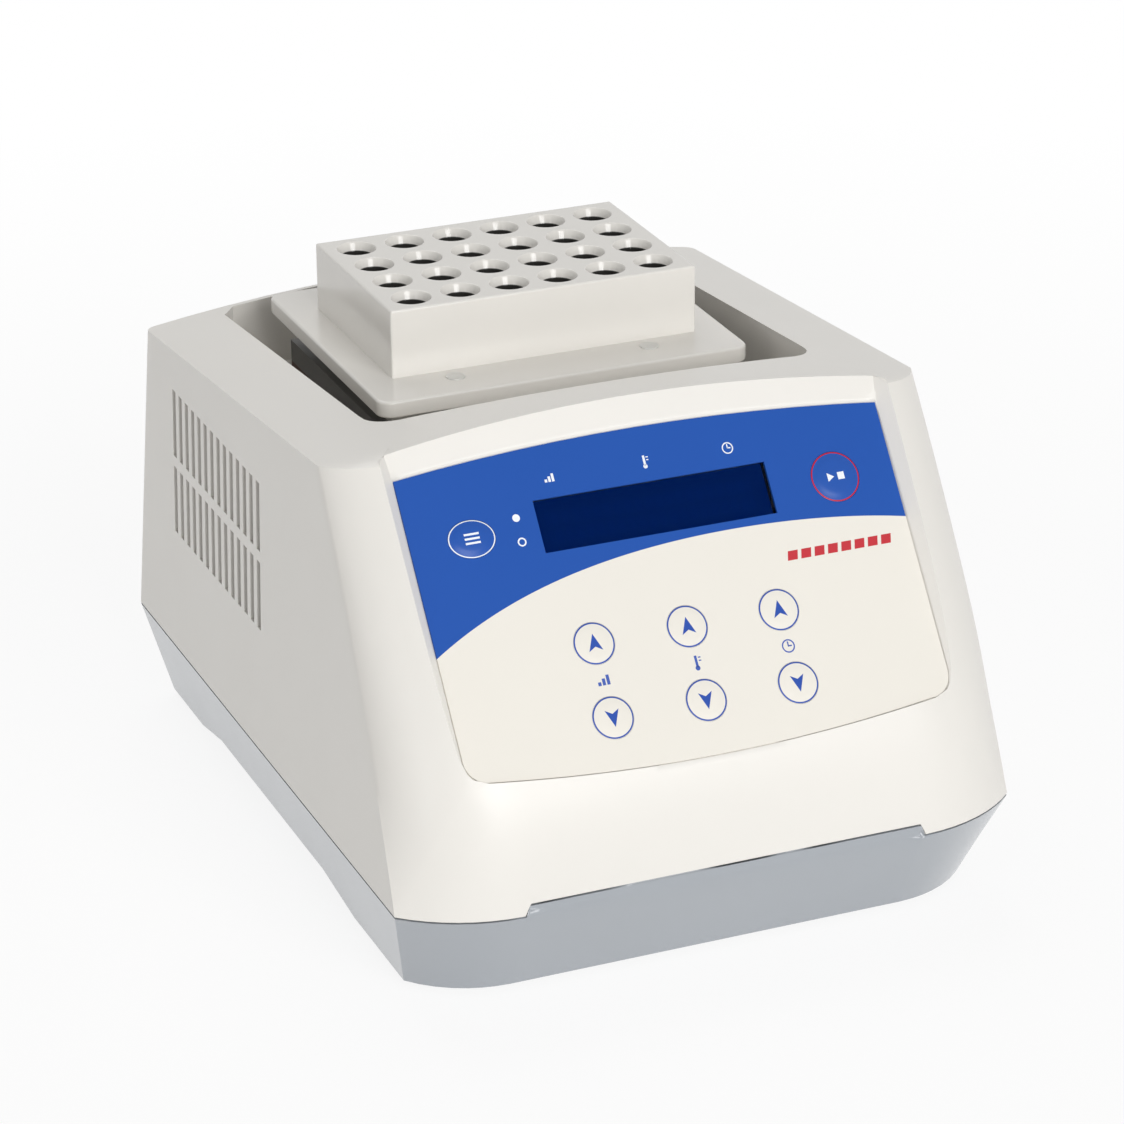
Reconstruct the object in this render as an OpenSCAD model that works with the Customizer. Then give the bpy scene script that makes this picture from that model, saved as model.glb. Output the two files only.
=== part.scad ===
// Dry block heater for sample tubes, free standing, millimetres.
// +X is the right-hand side, -Y is the front with the sloping panel, +Z is up.
// The origin is on the table, under the middle of the body.

/* [Body] */
// Width of the body at the seam between housing and base
body_w = 221.4; // [200:0.2:250]
// Depth of the body at the seam
body_d = 287.4; // [278:0.2:300]
// Lean of each side wall between the seam and the top
side_lean = 3.1; // [1.6:0.1:8]
// Height of the seam above the table
seam_z = 35.5; // [32:0.5:40]
// Wall of the mouldings
wall = 2.5; // [2:0.1:3]
// Height of the crowned top above the origin
crown_z = 168.98; // [167:0.02:172]
// Radius of the crown across the top
crown_r = 650; // [500:10:1000]
// Slope of the top down to the back, in degrees
top_tilt = 5; // [3:0.5:7]
// Lean of the back wall between the seam and the top
back_lean = 17.5; // [12:0.1:20]
// Depth of a front corner at the top
corner_d_top = 18; // [12:0.5:24]
// Depth of a front corner at the seam
corner_d_seam = 16; // [12:0.5:24]
// Run of a front corner at the top
corner_run_top = 23.5; // [20:0.5:30]
// Run of a front corner at the seam
corner_run_seam = 40; // [32:0.5:48]
// Radius of the back corners
back_r = 3.3; // [3:0.1:12]

/* [Base] */
// Height of the rubber feet under the base
foot_h = 2.5; // [2:0.1:5]
// Radius of a rubber foot
foot_r = 9; // [7:0.5:10]
// Draw-in of the base's sides from seam to bottom
base_in_side = 8.5; // [4:0.5:12]
// Draw-in of the base's front
base_in_front = 16.5; // [12:0.1:24]
// Draw-in of the base's back
base_in_back = 9; // [4:0.1:10]
// Width of the raised tab in the front seam
tab_w = 140; // [100:1:150]
// Height of the raised tab
tab_h = 4; // [2:0.5:6]
// Height of the finger grips in the sides
grip_h = 6; // [4:0.5:10]
// Reach of the finger grips under the base
grip_in = 24; // [15:1:28]
// Front end of the grips' flat roof
grip_front = -37.5; // [-50:0.5:-30]
// Back end of the grips' flat roof
grip_back = 70.5; // [60:0.5:80]
// Run of the slope at each end of the grips
grip_ramp = 27; // [15:1:30]

/* [Top well] */
// Width of the sunk well around the heated plate
well_w = 162; // [158:0.5:168]
// Distance of the well behind the body's front
well_set = 100; // [98:0.2:106]
// Bow of the well's front edge
well_bow = 6; // [2:0.5:10]
// Distance of the well from the body's back
well_set_back = 19.9; // [19.5:0.1:24]
// Radius of the well's front corners
well_r = 12; // [8:0.5:16]
// Radius of the well's back corners
well_back_r = 2; // [1:0.5:12]
// Height of the well's floor
well_z = 130; // [126:0.5:145]
// Gap around the insulation in the well's floor
well_gap = 4; // [2:0.5:6]

/* [Panel] */
// Slope of the panel, in degrees from level
panel_angle = 52.2; // [50:0.2:54]
// Panel datum, distance behind the body's front
panel_set = 64.4; // [63:0.2:66]
// Panel datum, height
panel_z = 149; // [147:0.2:151]
// Depth of the panel below the housing's front
recess_depth = 5.2; // [4:0.1:6]
// Run of the recess's side walls
recess_run = 5.3; // [4:0.1:7]
// Run of the recess's floor above the overlay, out through the top
recess_run_top = 40; // [20:1:60]
// Distance of the overlay from the body's sides
overlay_in = 24.3; // [24:0.1:30]
// Reach of the overlay above the datum
overlay_up = 20.2; // [18:0.2:22]
// Reach of the overlay below the datum
overlay_down = 92.2; // [91:0.2:93]
// Bow of the overlay's top and bottom edges
overlay_bow = 5; // [3:0.1:7]
// Radius of the overlay's lower corners
overlay_r = 8; // [5:0.5:12]
// Thickness of the overlay
overlay_t = 1; // [0.8:0.1:1.4]
// Gap around the overlay in its pocket
overlay_gap = 0.3; // [0.2:0.05:0.5]
// Width of the display window
window_w = 83; // [76:0.5:86]
// Height of the display window
window_h = 18; // [15:0.5:19]
// Middle of the display window below the datum
window_s = 7.6; // [7:0.1:8.5]
// Margin of the clear pane around the window
pane_rim = 3; // [2:0.5:4]
// Thickness of the clear pane
pane_t = 1.5; // [1:0.1:1.6]

/* [Keys] */
// Radius of an arrow key
key_r = 7.1; // [6:0.1:8]
// Distance between the columns of arrow keys
key_dx = 33; // [28:0.5:36]
// Upper row of arrow keys below the datum
key_s = 48.8; // [46:0.2:52]
// Distance between the rows of arrow keys
key_ds = 25.1; // [22:0.1:27]
// Radius of the start and stop key
start_r = 8.7; // [7.5:0.1:9.5]
// Width of the program key
prog_w = 16.4; // [14:0.2:18]
// Height of the program key
prog_h = 12.8; // [11:0.2:15]
// Distance of the program and start keys from the middle
side_key_x = 65.1; // [62:0.1:67]
// Middle of the program and start keys below the datum
side_key_s = 7.8; // [6:0.1:10]
// Height of a key above the overlay
key_proud = 0.4; // [0.2:0.1:0.6]
// Thickness of a key's cap
key_t = 0.8; // [0.6:0.05:0.85]
// Travel of a key
key_travel = 0.5; // [0.3:0.05:0.5]
// Running gap around a key
key_gap = 0.1; // [0.05:0.01:0.1]
// Radius of a key's plunger
plunger_r = 2.5; // [2:0.1:3]
// Gap around a plunger in the housing
plunger_gap = 0.4; // [0.3:0.05:0.6]

/* [Control board] */
// Distance of the board behind the panel
board_n = 16; // [15:0.5:18]
// Thickness of the boards
pcb_t = 1.6; // [1:0.1:2]
// Width of the control board
board_w = 148; // [144:0.5:150]
// Top edge of the control board above the datum
board_up = 18; // [16:0.5:19]
// Bottom edge of the control board below the datum
board_down = 84; // [82:0.5:86]
// Distance of the board's screws from its edges
board_edge = 5; // [4:0.5:6]
// Side of a key switch
switch_a = 6; // [5:0.1:7]
// Height of a key switch's case
switch_h = 4.5; // [3.5:0.1:5]
// Width of the display's circuit board
lcd_pcb_w = 116; // [112:0.5:118]
// Height of the display's circuit board
lcd_pcb_h = 37; // [34:0.5:38]
// Width of the display's bezel
lcd_bezel_w = 97; // [93:0.5:100]
// Height of the display's bezel
lcd_bezel_h = 26; // [24:0.5:28]
// Height of the display's bezel above its board
lcd_bezel_t = 7; // [5:0.1:7.5]
// Height of the spacers under the display's board
lcd_stand = 2; // [1.5:0.1:2.5]

/* [Tube block] */
// Width of the tube block
block_x = 113; // [110:0.5:120]
// Depth of the tube block
block_y = 75.3; // [72:0.1:77]
// Height of the tube block above its flange
block_h = 24.3; // [20:0.1:30]
// Height of the tube block below its flange
block_low_h = 10; // [8:0.5:12]
// Middle of the block along Y
block_cy = 48; // [46:0.5:49]
// Number of tube wells across
tubes_x = 6; // [2:1:6]
// Number of tube wells front to back
tubes_y = 4; // [1:1:4]
// Distance between tube wells
tube_pitch = 18; // [16:0.5:18]
// Radius of a tube well
tube_r = 5.5; // [4:0.1:6.4]
// Radius of a tube well's mouth
tube_mouth_r = 7; // [6.6:0.1:7.8]
// Depth of a tube well's mouth
tube_mouth_h = 3.1; // [1:0.1:5]
// Metal left under a tube well
tube_floor = 4; // [3:0.5:6]
// Radius of the block's upright edges
edge_r = 0.8; // [0.4:0.1:1.2]
// Height of the flange's top
flange_z = 163.2; // [161.5:0.1:165]
// Width of the flange
flange_x = 136.5; // [134:0.5:140]
// Depth of the flange
flange_y = 116; // [114:0.5:120]
// Thickness of the flange
flange_t = 6; // [5:0.1:8]
// Shoulder of the block under the flange
shoulder = 1; // [0.6:0.1:1.2]
// Radius of the flange's corners
flange_r = 5; // [3:0.5:8]
// Distance of the block's screws from the middle, along X
block_screw_x = 36; // [30:0.5:40]
// Radius of the block screws' heads
block_head_r = 3.4; // [3.2:0.1:4]
// Height of the block screws' heads
block_head_h = 2; // [1.5:0.1:2.5]

/* [Heater] */
// Width of the heater plate and its mat
stack_x = 124; // [118:1:126]
// Depth of the heater plate and its mat
stack_y = 104; // [102:1:106]
// Thickness of the heater plate
heater_t = 8; // [7:0.5:10]
// Radius of the posts that carry the flange
heater_post_r = 5; // [4.5:0.1:5.5]
// Gap between the block and the posts
post_gap = 1.7; // [1:0.1:2]
// Thickness of the heating mat
mat_t = 2; // [1.5:0.1:3]
// Thickness of the clamp plate under the mat
clamp_t = 1.5; // [1:0.1:2]
// Thickness of the insulation
insul_t = 20; // [18:0.5:22]
// Radius of the ceramic spacers
spacer_r = 5; // [4:0.1:6]
// Radius of the temperature probe
probe_r = 1.5; // [1:0.1:1.6]
// Length of the temperature probe in the heater plate
probe_l = 30; // [20:1:36]
// Radius of the over-heat cut-out
cutout_r = 8; // [6:0.1:8.5]

/* [Bridge and power] */
// Thickness of the bridge's sheet
bridge_t = 1.5; // [1.2:0.1:2]
// Distance of the bridge's walls from the body's sides
bridge_in = 50.7; // [49:0.1:52]
// Depth of the bridge
bridge_y = 100; // [96:1:104]
// Reach of the bridge's foot flanges
flange = 12; // [10:0.5:14]
// Height of the bosses on the base's floor
boss_h = 4; // [3:0.5:6]
// Radius of the small bosses and spacers
boss_r = 4; // [3.6:0.1:4.5]
// Radius of the small screws' shanks
screw_r = 1.5; // [1.2:0.1:1.6]
// Gap around a screw's shank
screw_gap = 0.15; // [0.1:0.05:0.3]
// Width of the transformer's core
trafo_x = 66; // [60:1:70]
// Depth of the transformer's core
trafo_y = 34; // [30:1:40]
// Height of the transformer's core
trafo_z = 55; // [50:1:60]
// Thickness of the coil around the transformer's middle leg
trafo_coil = 9; // [6:0.5:12]
// Width of the power board
power_x = 110; // [100:1:120]
// Depth of the power board
power_y = 56; // [50:1:60]
// Middle of the power board along Y
power_cy = -57.5; // [-60:0.5:-54]
// Number of fins on the power board's heat sink
fins = 5; // [3:1:7]
// Height of the heat sink
sink_h = 22; // [15:0.5:24]
// Thickness of the heat sink's foot
sink_t = 3; // [2:0.1:4]
// Thickness of a heat sink's fin
fin_t = 2; // [1.2:0.1:2.4]

/* [Vents and fan] */
// Number of vent slots in a row
vents = 14; // [10:1:14]
// Distance between vent slots
vent_pitch = 7; // [6:0.1:7]
// Width of a vent slot
vent_w = 3.6; // [2:0.1:4]
// Height of a vent slot
vent_h = 25.2; // [20:0.2:26]
// Distance between the two rows of slots
vent_gap = 4; // [3:0.2:6]
// Middle of the slots along Y
vent_cy = 49.5; // [47:0.5:52]
// Middle of the slots' height
vent_cz = 109.3; // [107:0.1:111]
// Side of the fan
fan_a = 60; // [50:1:60]
// Thickness of the fan
fan_t = 15; // [12:1:18]
// Screw spacing of the fan
fan_pitch = 50; // [40:1:50]
// Radius of the fan's hub
fan_hub_r = 13; // [10:0.5:16]
// Number of fan blades
blades = 7; // [5:1:9]

/* [Back] */
// Height of the inlet and switch on the back
back_z = 100; // [98:0.5:104]
// Distance of the inlet from the middle
inlet_x = 55; // [45:1:60]
// Width of the inlet's flange
inlet_w = 50; // [46:0.5:54]
// Height of the inlet's flange
inlet_h = 40; // [38:0.5:44]
// Width of the inlet's cavity
cavity_w = 24; // [22:0.5:26]
// Height of the inlet's cavity
cavity_h = 16.5; // [15:0.5:18]
// Depth of the inlet's cavity
cavity_d = 16; // [14:0.5:18]
// Thickness of the inlet's flange
inlet_t = 3; // [2:0.1:4]
// Width of a contact pin
pin_w = 2; // [1.5:0.1:2.5]
// Height of a contact pin
pin_h = 4; // [3:0.1:5]
// Distance of the outer pins from the middle
pin_dx = 6; // [5:0.1:7]
// Rise of the middle pin above the others
pin_up = 5; // [4:0.1:6]
// Length of a pin's tail behind the inlet
pin_tail = 6; // [4:0.5:8]
// Height of the fuse drawer
fuse_h = 9; // [8.5:0.1:9.5]
// Radius of the fuse
fuse_link_r = 2.5; // [2:0.1:2.6]
// Length of the fuse
fuse_l = 20; // [16:0.5:20]
// Rim of the fuse drawer's front
fuse_rim = 1; // [0.6:0.1:1.4]
// Thickness of the fuse drawer's front
fuse_front = 1.5; // [1:0.1:2]
// Travel of the fuse drawer
fuse_travel = 14; // [10:0.5:18]
// Sliding gap around the fuse drawer
fuse_gap = 0.3; // [0.3:0.05:0.5]
// Distance of the switch from the inlet
switch_dx = 50; // [44:1:60]
// Width of the switch's bezel
rocker_w = 21; // [18:0.5:24]
// Height of the switch's bezel
rocker_h = 30; // [26:0.5:34]
// Swing of the rocker each way, in degrees
rocker_swing = 9; // [6:1:10]
// Radius of the rocker's pivot pin
pivot_r = 1.5; // [1:0.1:2]
// Running gap around the pivot
pivot_gap = 0.05; // [0.03:0.01:0.1]

/* [Hidden] */
$fn = 48;
eps = 0.01;

// Body lines
front_y = -body_d/2;
back_y = body_d/2;
top_w = body_w - 2*side_lean;
panel_y = front_y + panel_set;
well_front = front_y + well_set;
well_back = back_y - well_set_back;
overlay_w = body_w - 2*overlay_in;
bridge_x = body_w - 2*bridge_in;

// Body heights
base_z = foot_h;
floor_z = base_z + wall;
boss_z = floor_z + boss_h;
crown_side_z = crown_z - pow(top_w/2, 2)/(2*crown_r) - tan(top_tilt)*block_cy;
loft_z = crown_z + tan(top_tilt)*body_d/3 + 2;
side_draft = side_lean/(crown_side_z - seam_z);
back_angle = atan(back_lean/(crown_side_z - seam_z));

// Front profile, from the seam to the top
lower_pull = 47;
upper_pull = 115;
crease_pull = 50;
lower_angle = 86;
crease_angle = 68;
front_top_y = panel_y + (loft_z - panel_z)/tan(panel_angle) - recess_depth/sin(panel_angle);
front_curve = pull_curve([front_y, seam_z], lower_angle, lower_pull,
    [front_top_y, loft_z], panel_angle, upper_pull);
crease_curve = pull_curve([front_y + corner_d_seam, seam_z], crease_angle, crease_pull,
    [front_top_y + corner_d_top, loft_z], panel_angle, crease_pull);
levels = 12;
corner_steps = 8;

// Heater stack heights
block_top = flange_z + block_h;
flange_low = flange_z - flange_t;
block_low = flange_low - block_low_h;
heater_z = block_low - heater_t;
mat_z = heater_z - mat_t;
clamp_z = mat_z - clamp_t;
insul_z = clamp_z - insul_t;
bridge_z = insul_z - bridge_t;
block_screw_y = block_y/2 + post_gap + heater_post_r;
bridge_screw_x = bridge_x/2 + flange/2;
bridge_screw_y = bridge_y/2 - flange;
screw_len = 7;
head_r = 2*screw_r;
head_h = 1.6;

// Panel depths, measured outwards along the panel's normal
pocket_n = -overlay_t;
pane_n = pocket_n - pane_t;
inner_n = pocket_n - max(wall, pane_t + 1);
board_top_n = -board_n;
lcd_pcb_n = board_top_n + lcd_stand;
bezel_n = lcd_pcb_n + pcb_t;
key_low_n = key_proud - key_t;
switch_top_n = board_top_n + switch_h + 1;
plunger_n = switch_top_n + key_travel + 0.1;
board_cs = (board_down - board_up)/2;
board_h = board_down + board_up;
board_screw_x = board_w/2 - board_edge;
board_screw_s = [board_edge - board_up, board_down - board_edge];
lcd_screw_x = lcd_pcb_w/2 - 3;
lcd_screw_s = lcd_pcb_h/2 - 3;
arrow_keys = [for (i = [-1:1], j = [0, 1]) [i*key_dx, key_s + j*key_ds]];
prog_at = [-side_key_x, side_key_s];
start_at = [side_key_x, side_key_s];
all_keys = concat(arrow_keys, [prog_at, start_at]);

// Back wall pieces
fuse_w = cavity_w;
fuse_floor = -fuse_link_r;
fuse_u = -inlet_h/2 + fuse_h/2 + 3;
cavity_u = fuse_u + fuse_h/2 + 2.5 + cavity_h/2;
inlet_body_w = cavity_w + 6;
inlet_body_h = inlet_h - 4;
inlet_body_d = cavity_d + 4;
inlet_screw_x = (inlet_w + inlet_body_w)/4;
back_gap = 0.3;
rocker_body_w = rocker_w - 4;
rocker_body_h = rocker_h - 4;
rocker_body_d = 18;
rocker_in_w = rocker_body_w - 4;
rocker_in_h = rocker_body_h - 4;
rocker_r = rocker_in_h/2 - 0.6;
bezel_t = 2;

// Base posts and feet
post_r = 5;
post_z = 16;
post_x = board_w/2 + 12;
post_front = front_y + 49.2;
post_back = back_y - 23.2;
foot_x = post_x - 24;
foot_front = post_front - 4;
foot_back = post_back - 6;
feet = [for (x = [-foot_x, foot_x], y = [foot_front, foot_back]) [x, y]];
posts = [for (x = [-post_x, post_x], y = [post_front, post_back]) [x, y]];
foot_seat = 1.5;

// Screws into the base's floor
trafo_screw_x = trafo_x/2 + 6;
bridge_screws_at = [for (x = [-1, 1], y = [-1, 1]) [x*bridge_screw_x, block_cy + y*bridge_screw_y]];
trafo_screws_at = [for (x = [-1, 1]) [x*trafo_screw_x, block_cy]];
power_screws_at = [for (x = [-1, 1], y = [-1, 1]) [x*(power_x/2 - 5), power_cy + y*(power_y/2 - 5)]];
base_bosses = concat(bridge_screws_at, trafo_screws_at, power_screws_at);

// Fan seat on the right-hand wall
fan_wall = top_w/2 - wall + side_draft*(crown_side_z - vent_cz);
fan_seat = fan_wall - 3;
fan_blade_r = fan_a/2 - 3;
fan_hole_r = fan_blade_r + 1;
fan_screws_at = [for (y = [-1, 1], z = [-1, 1]) [y*fan_pitch/2, z*fan_pitch/2]];

// A curve between two points that leaves each one along its own slope
function pull_curve(a, a_deg, a_pull, b, b_deg, b_pull) =
    [a, a + a_pull*[cos(a_deg), sin(a_deg)], b - b_pull*[cos(b_deg), sin(b_deg)], b];
function on_curve(c, t) = pow(1 - t, 3)*c[0] + 3*t*pow(1 - t, 2)*c[1] + 3*t*t*(1 - t)*c[2] + t*t*t*c[3];
// Distance along Y of a curve at a height, found by halving
function curve_y(c, z, lo = 0, hi = 1, n = 24) = n == 0 ? on_curve(c, (lo + hi)/2)[0] :
    on_curve(c, (lo + hi)/2)[1] < z ? curve_y(c, z, (lo + hi)/2, hi, n - 1) :
        curve_y(c, z, lo, (lo + hi)/2, n - 1);
function mix(a, b, t) = a + (b - a)*t;
function arc(c, r, a, b, n) = [for (i = [0:n]) c + r*[cos(mix(a, b, i/n)), sin(mix(a, b, i/n))]];
function mirrored(pts) = [for (i = [len(pts) - 1:-1:0]) [-pts[i][0], pts[i][1]]];
function lift(pts, z) = [for (p = pts) [p[0], p[1], z]];

// Plan of the body: front corners are arcs that meet the sides at a crease
function plan(hw, front, depth, run, back, r) =
    let (cr = (run*run + depth*depth)/(2*depth),
        corner = arc([hw - run, front + cr], cr, -90, asin((depth - cr)/cr), corner_steps),
        rear = arc([hw - r, back - r], r, 0, 90, 4),
        right = concat(corner, rear))
    concat(right, mirrored(right));
function body_hw(z) = top_w/2 + side_draft*(crown_side_z - z);
function body_back(z) = back_y - tan(back_angle)*(z - seam_z);
function body_plan(z, inset) =
    let (front = curve_y(front_curve, z), crease = curve_y(crease_curve, z),
        run = mix(corner_run_seam, corner_run_top, (z - seam_z)/(loft_z - seam_z)))
    plan(body_hw(z) - inset, front + inset, crease - front, run - inset/2,
        body_back(z) - inset, back_r - min(inset, back_r - 1));
function level_z(i) = mix(seam_z, loft_z, i/levels);

// Plan of the base between its bottom, at 0, and the seam, at 1
function base_plan(t, inset) =
    let (u = 1 - t)
    plan(body_w/2 - u*base_in_side - inset, front_y + u*base_in_front + inset, corner_d_seam,
        mix(corner_run_seam - 8, corner_run_seam, t) - inset/2, back_y - u*base_in_back - inset,
        back_r - min(inset, back_r - 1));

// A solid through rings of equal length
module loft(rings) {
    n = len(rings[0]);
    m = len(rings);
    polyhedron(
        points = [for (r = rings) each r],
        faces = concat([[for (i = [0:n - 1]) i]], [[for (i = [n - 1:-1:0]) (m - 1)*n + i]],
            [for (j = [0:m - 2], i = [0:n - 1]) each let (k = (i + 1) % n)
                [[j*n + i, (j + 1)*n + i, (j + 1)*n + k], [j*n + i, (j + 1)*n + k, j*n + k]]]));
}

module at_panel() translate([0, panel_y, panel_z]) rotate([panel_angle, 0, 0]) children();
module at_key(p) at_panel() translate([p[0], -p[1], 0]) children();
module at_back(x, z) translate([x, body_back(z), z]) rotate([90 - back_angle, 0, 180]) children();
module at_block() translate([0, block_cy, 0]) children();
module rod(r, z0, z1) translate([0, 0, z0]) cylinder(r = r, h = z1 - z0);
module slab(x, y, z0, z1) translate([-x/2, -y/2, z0]) cube([x, y, z1 - z0]);
module each_at(pts) for (p = pts) translate([p[0], p[1], 0]) children();
module corners(x, y) for (i = [-1, 1], j = [-1, 1]) translate([i*x, j*y, 0]) children();
module rounded_plate(x, y, r, z0, z1) translate([0, 0, z0]) linear_extrude(z1 - z0)
    polygon([for (q = [[1, 1, 0], [-1, 1, 90], [-1, -1, 180], [1, -1, 270]])
        each arc([q[0]*(x/2 - r), q[1]*(y/2 - r)], r, q[2], q[2] + 90, 6)]);
module oval(w, h) polygon([for (i = [0:59]) [w/2*cos(6*i), h/2*sin(6*i)]]);

// Everything under the crowned top, lowered by a depth
module under_crown(depth) translate([0, 0, crown_z - depth]) rotate([90 - top_tilt, 0, 0])
    translate([0, -crown_r, -body_d]) cylinder(r = crown_r, h = 2*body_d, $fn = 360);

module body_solid(inset, z0) intersection() {
    loft([for (i = [0:levels]) lift(body_plan(level_z(i), inset), i == 0 ? z0 : level_z(i))]);
    under_crown(inset);
}

// Outline of the sunk well, grown by a margin
module well_outline(grow) {
    hw = well_w/2 + grow;
    y0 = well_front - grow;
    r = well_r + grow;
    side_y = y0 + well_bow;
    chord = hw - r;
    bow_r = (chord*chord + well_bow*well_bow)/(2*well_bow);
    bow_a = asin(chord/bow_r);
    rear_r = well_back_r + grow;
    right = concat(arc([0, y0 + bow_r], bow_r, -90, -90 + bow_a, 8), arc([hw - r, side_y + r], r, -80, 0, 6),
        arc([hw - rear_r, well_back + grow - rear_r], rear_r, 0, 90, 6));
    polygon(concat(right, mirrored(right)));
}

// Outline of the overlay in the panel's plane, grown at the sides, the top and the bottom
function overlay_ring(side, up, down) =
    let (hw = overlay_w/2 + side, top = overlay_up + up, low = -overlay_down - down, n = 12,
        top_r = (hw*hw + overlay_bow*overlay_bow)/(2*overlay_bow),
        flat = hw - overlay_r,
        low_r = (flat*flat + overlay_bow*overlay_bow)/(2*overlay_bow),
        top_a = asin(hw/top_r), low_a = asin(flat/low_r))
    concat(arc([0, top - top_r], top_r, 90 - top_a, 90 + top_a, n),
        arc([-flat, low + overlay_bow + overlay_r], overlay_r, 180, 262, 6),
        arc([0, low + low_r], low_r, 270 - low_a, 270 + low_a, n),
        arc([flat, low + overlay_bow + overlay_r], overlay_r, 278, 360, 6));

module key_shape(i, grow) {
    if (i == 0) oval(prog_w + 2*grow, prog_h + 2*grow);
    if (i == 1) circle(r = start_r + grow);
    if (i > 1) circle(r = key_r + grow);
}

module key(i, at) at_key(at) {
    translate([0, 0, key_low_n]) linear_extrude(key_t) key_shape(i, 0);
    rod(plunger_r, plunger_n, key_low_n);
}

module panel_recess() at_panel() loft([
    lift(overlay_ring(overlay_gap, overlay_gap, overlay_gap), 0),
    lift(overlay_ring(overlay_gap + 2*recess_run, overlay_gap + 2*recess_run_top, overlay_gap + 1),
        2*recess_depth)]);

module panel_backing() at_panel() translate([0, 0, inner_n])
    linear_extrude(4*recess_depth) polygon(overlay_ring(recess_run + wall, recess_run_top + 6*wall, wall));

module vent_slots() for (side = [-1, 1], row = [-1, 1], i = [0:vents - 1])
    translate([side*top_w/2, vent_cy + (i - (vents - 1)/2)*vent_pitch, vent_cz + row*(vent_h + vent_gap)/2])
        cube([6*wall, vent_w, vent_h], center = true);

// Housing
module housing_cavity() difference() {
    body_solid(wall, seam_z - 1);
    translate([0, 0, well_z - wall]) linear_extrude(loft_z) well_outline(wall);
    panel_backing();
}
module board_bosses() at_panel() for (x = [-1, 1], s = board_screw_s)
    translate([x*board_screw_x, -s, 0]) difference() {
        rod(boss_r, board_top_n, inner_n + eps);
        rod(screw_r + screw_gap, board_top_n - 1, board_top_n + screw_len);
    }
module housing_posts() intersection() {
    each_at(posts) difference() {
        rod(post_r, post_z, loft_z);
        rod(screw_r + screw_gap, post_z - 1, post_z + 2*screw_len);
    }
    body_solid(wall/2, seam_z - 2*post_z);
    difference() {
        slab(2*body_w, 2*body_d, 0, loft_z);
        translate([0, 0, well_z - wall/2]) linear_extrude(loft_z) well_outline(wall/2);
        at_panel() slab(2*body_w, 2*body_d, inner_n + wall/2, loft_z);
    }
}
module fan_bosses() intersection() {
    translate([0, vent_cy, vent_cz]) for (p = fan_screws_at) translate([0, p[0], p[1]]) rotate([0, 90, 0])
        difference() {
            rod(boss_r, fan_seat, body_w);
            rod(screw_r + screw_gap, fan_seat - 1, fan_seat + 2);
        }
    body_solid(wall/2, seam_z);
}
module upper_housing() color("gainsboro") {
    difference() {
        body_solid(0, seam_z);
        housing_cavity();
        tab_slot(back_gap);
        translate([0, 0, well_z]) linear_extrude(loft_z) well_outline(0);
        at_block() slab(stack_x + 2*well_gap, stack_y + 2*well_gap, well_z - 2*wall, well_z + 1);
        panel_recess();
        at_panel() translate([0, 0, pocket_n]) linear_extrude(overlay_t + 1)
            polygon(overlay_ring(overlay_gap, overlay_gap, overlay_gap));
        at_key([0, window_s]) {
            slab(window_w + 2*pane_rim + 2*overlay_gap, window_h + 2*pane_rim + 2*overlay_gap, pane_n, 0);
            slab(window_w + 1, window_h + 1, inner_n - 1, 0);
        }
        for (k = all_keys) at_key(k) rod(plunger_r + plunger_gap, inner_n - 1, 0);
        vent_slots();
        at_back(-inlet_x, back_z) slab(inlet_body_w + 2*back_gap, inlet_body_h + 2*back_gap, -3*wall, wall);
        at_back(-inlet_x, back_z) for (x = [-1, 1]) translate([x*inlet_screw_x, 0, 0])
            rod(screw_r + screw_gap, -3*wall, wall);
        at_back(-inlet_x + switch_dx, back_z)
            slab(rocker_body_w + 2*back_gap, rocker_body_h + 2*back_gap, -3*wall, wall);
    }
    board_bosses();
    housing_posts();
    fan_bosses();
}

// Slot in the housing's front edge, and the tab of the base that fills it
module tab_slot(gap) translate([0, front_y, 0]) slab(tab_w + 2*gap, 4*wall, seam_z - 1, seam_z + tab_h + gap);

// Base
module grip_cut(grow) for (side = [-1, 1]) translate([side*(body_w/2 - base_in_side - grip_in - grow), 0, 0])
    rotate([90, 0, 90]) translate([0, 0, side < 0 ? -2*grip_in : 0]) linear_extrude(2*grip_in)
        polygon([[grip_front - grip_ramp - grow, base_z - 1], [grip_front - grow/2, base_z + grip_h + grow],
            [grip_back + grow/2, base_z + grip_h + grow], [grip_back + grip_ramp + grow, base_z - 1]]);
module base_solid(inset, z0, z1)
    loft([lift(base_plan((z0 - base_z)/(seam_z - base_z), inset), z0),
        lift(base_plan((min(z1, seam_z) - base_z)/(seam_z - base_z), inset), z1)]);
module base_tray() color("slategray") difference() {
    union() {
        difference() {
            base_solid(0, base_z, seam_z);
            difference() {
                base_solid(wall, floor_z, seam_z + 1);
                grip_cut(wall);
            }
        }
        intersection() {
            tab_slot(0);
            body_solid(0, seam_z - 1);
            difference() {
                slab(body_w, 2*body_d, seam_z - eps, seam_z + tab_h);
                body_solid(wall, seam_z - 1);
            }
        }
        each_at(base_bosses) rod(boss_r, floor_z - eps, boss_z);
        each_at(posts) rod(post_r, floor_z - eps, post_z);
    }
    grip_cut(0);
    each_at(base_bosses) rod(screw_r + screw_gap, floor_z - wall/3, boss_z + 1);
    each_at(posts) {
        rod(screw_r + screw_gap, base_z - 1, post_z + 1);
        rod(head_r + screw_gap, base_z - 1, base_z + 2*wall);
    }
    each_at(feet) {
        rod(foot_r + screw_gap, base_z - 1, base_z + foot_seat);
        rod(screw_r + screw_gap, base_z - 1, floor_z + 1);
    }
}
module rubber_feet() color("dimgray") each_at(feet) difference() {
    union() {
        rod(foot_r - 1, 0, foot_h);
        rod(foot_r, 1, foot_h + foot_seat);
    }
    rod(head_r + screw_gap, -1, foot_h/2 + head_h);
    rod(screw_r + screw_gap, -1, foot_h + foot_seat + 1);
}
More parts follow.
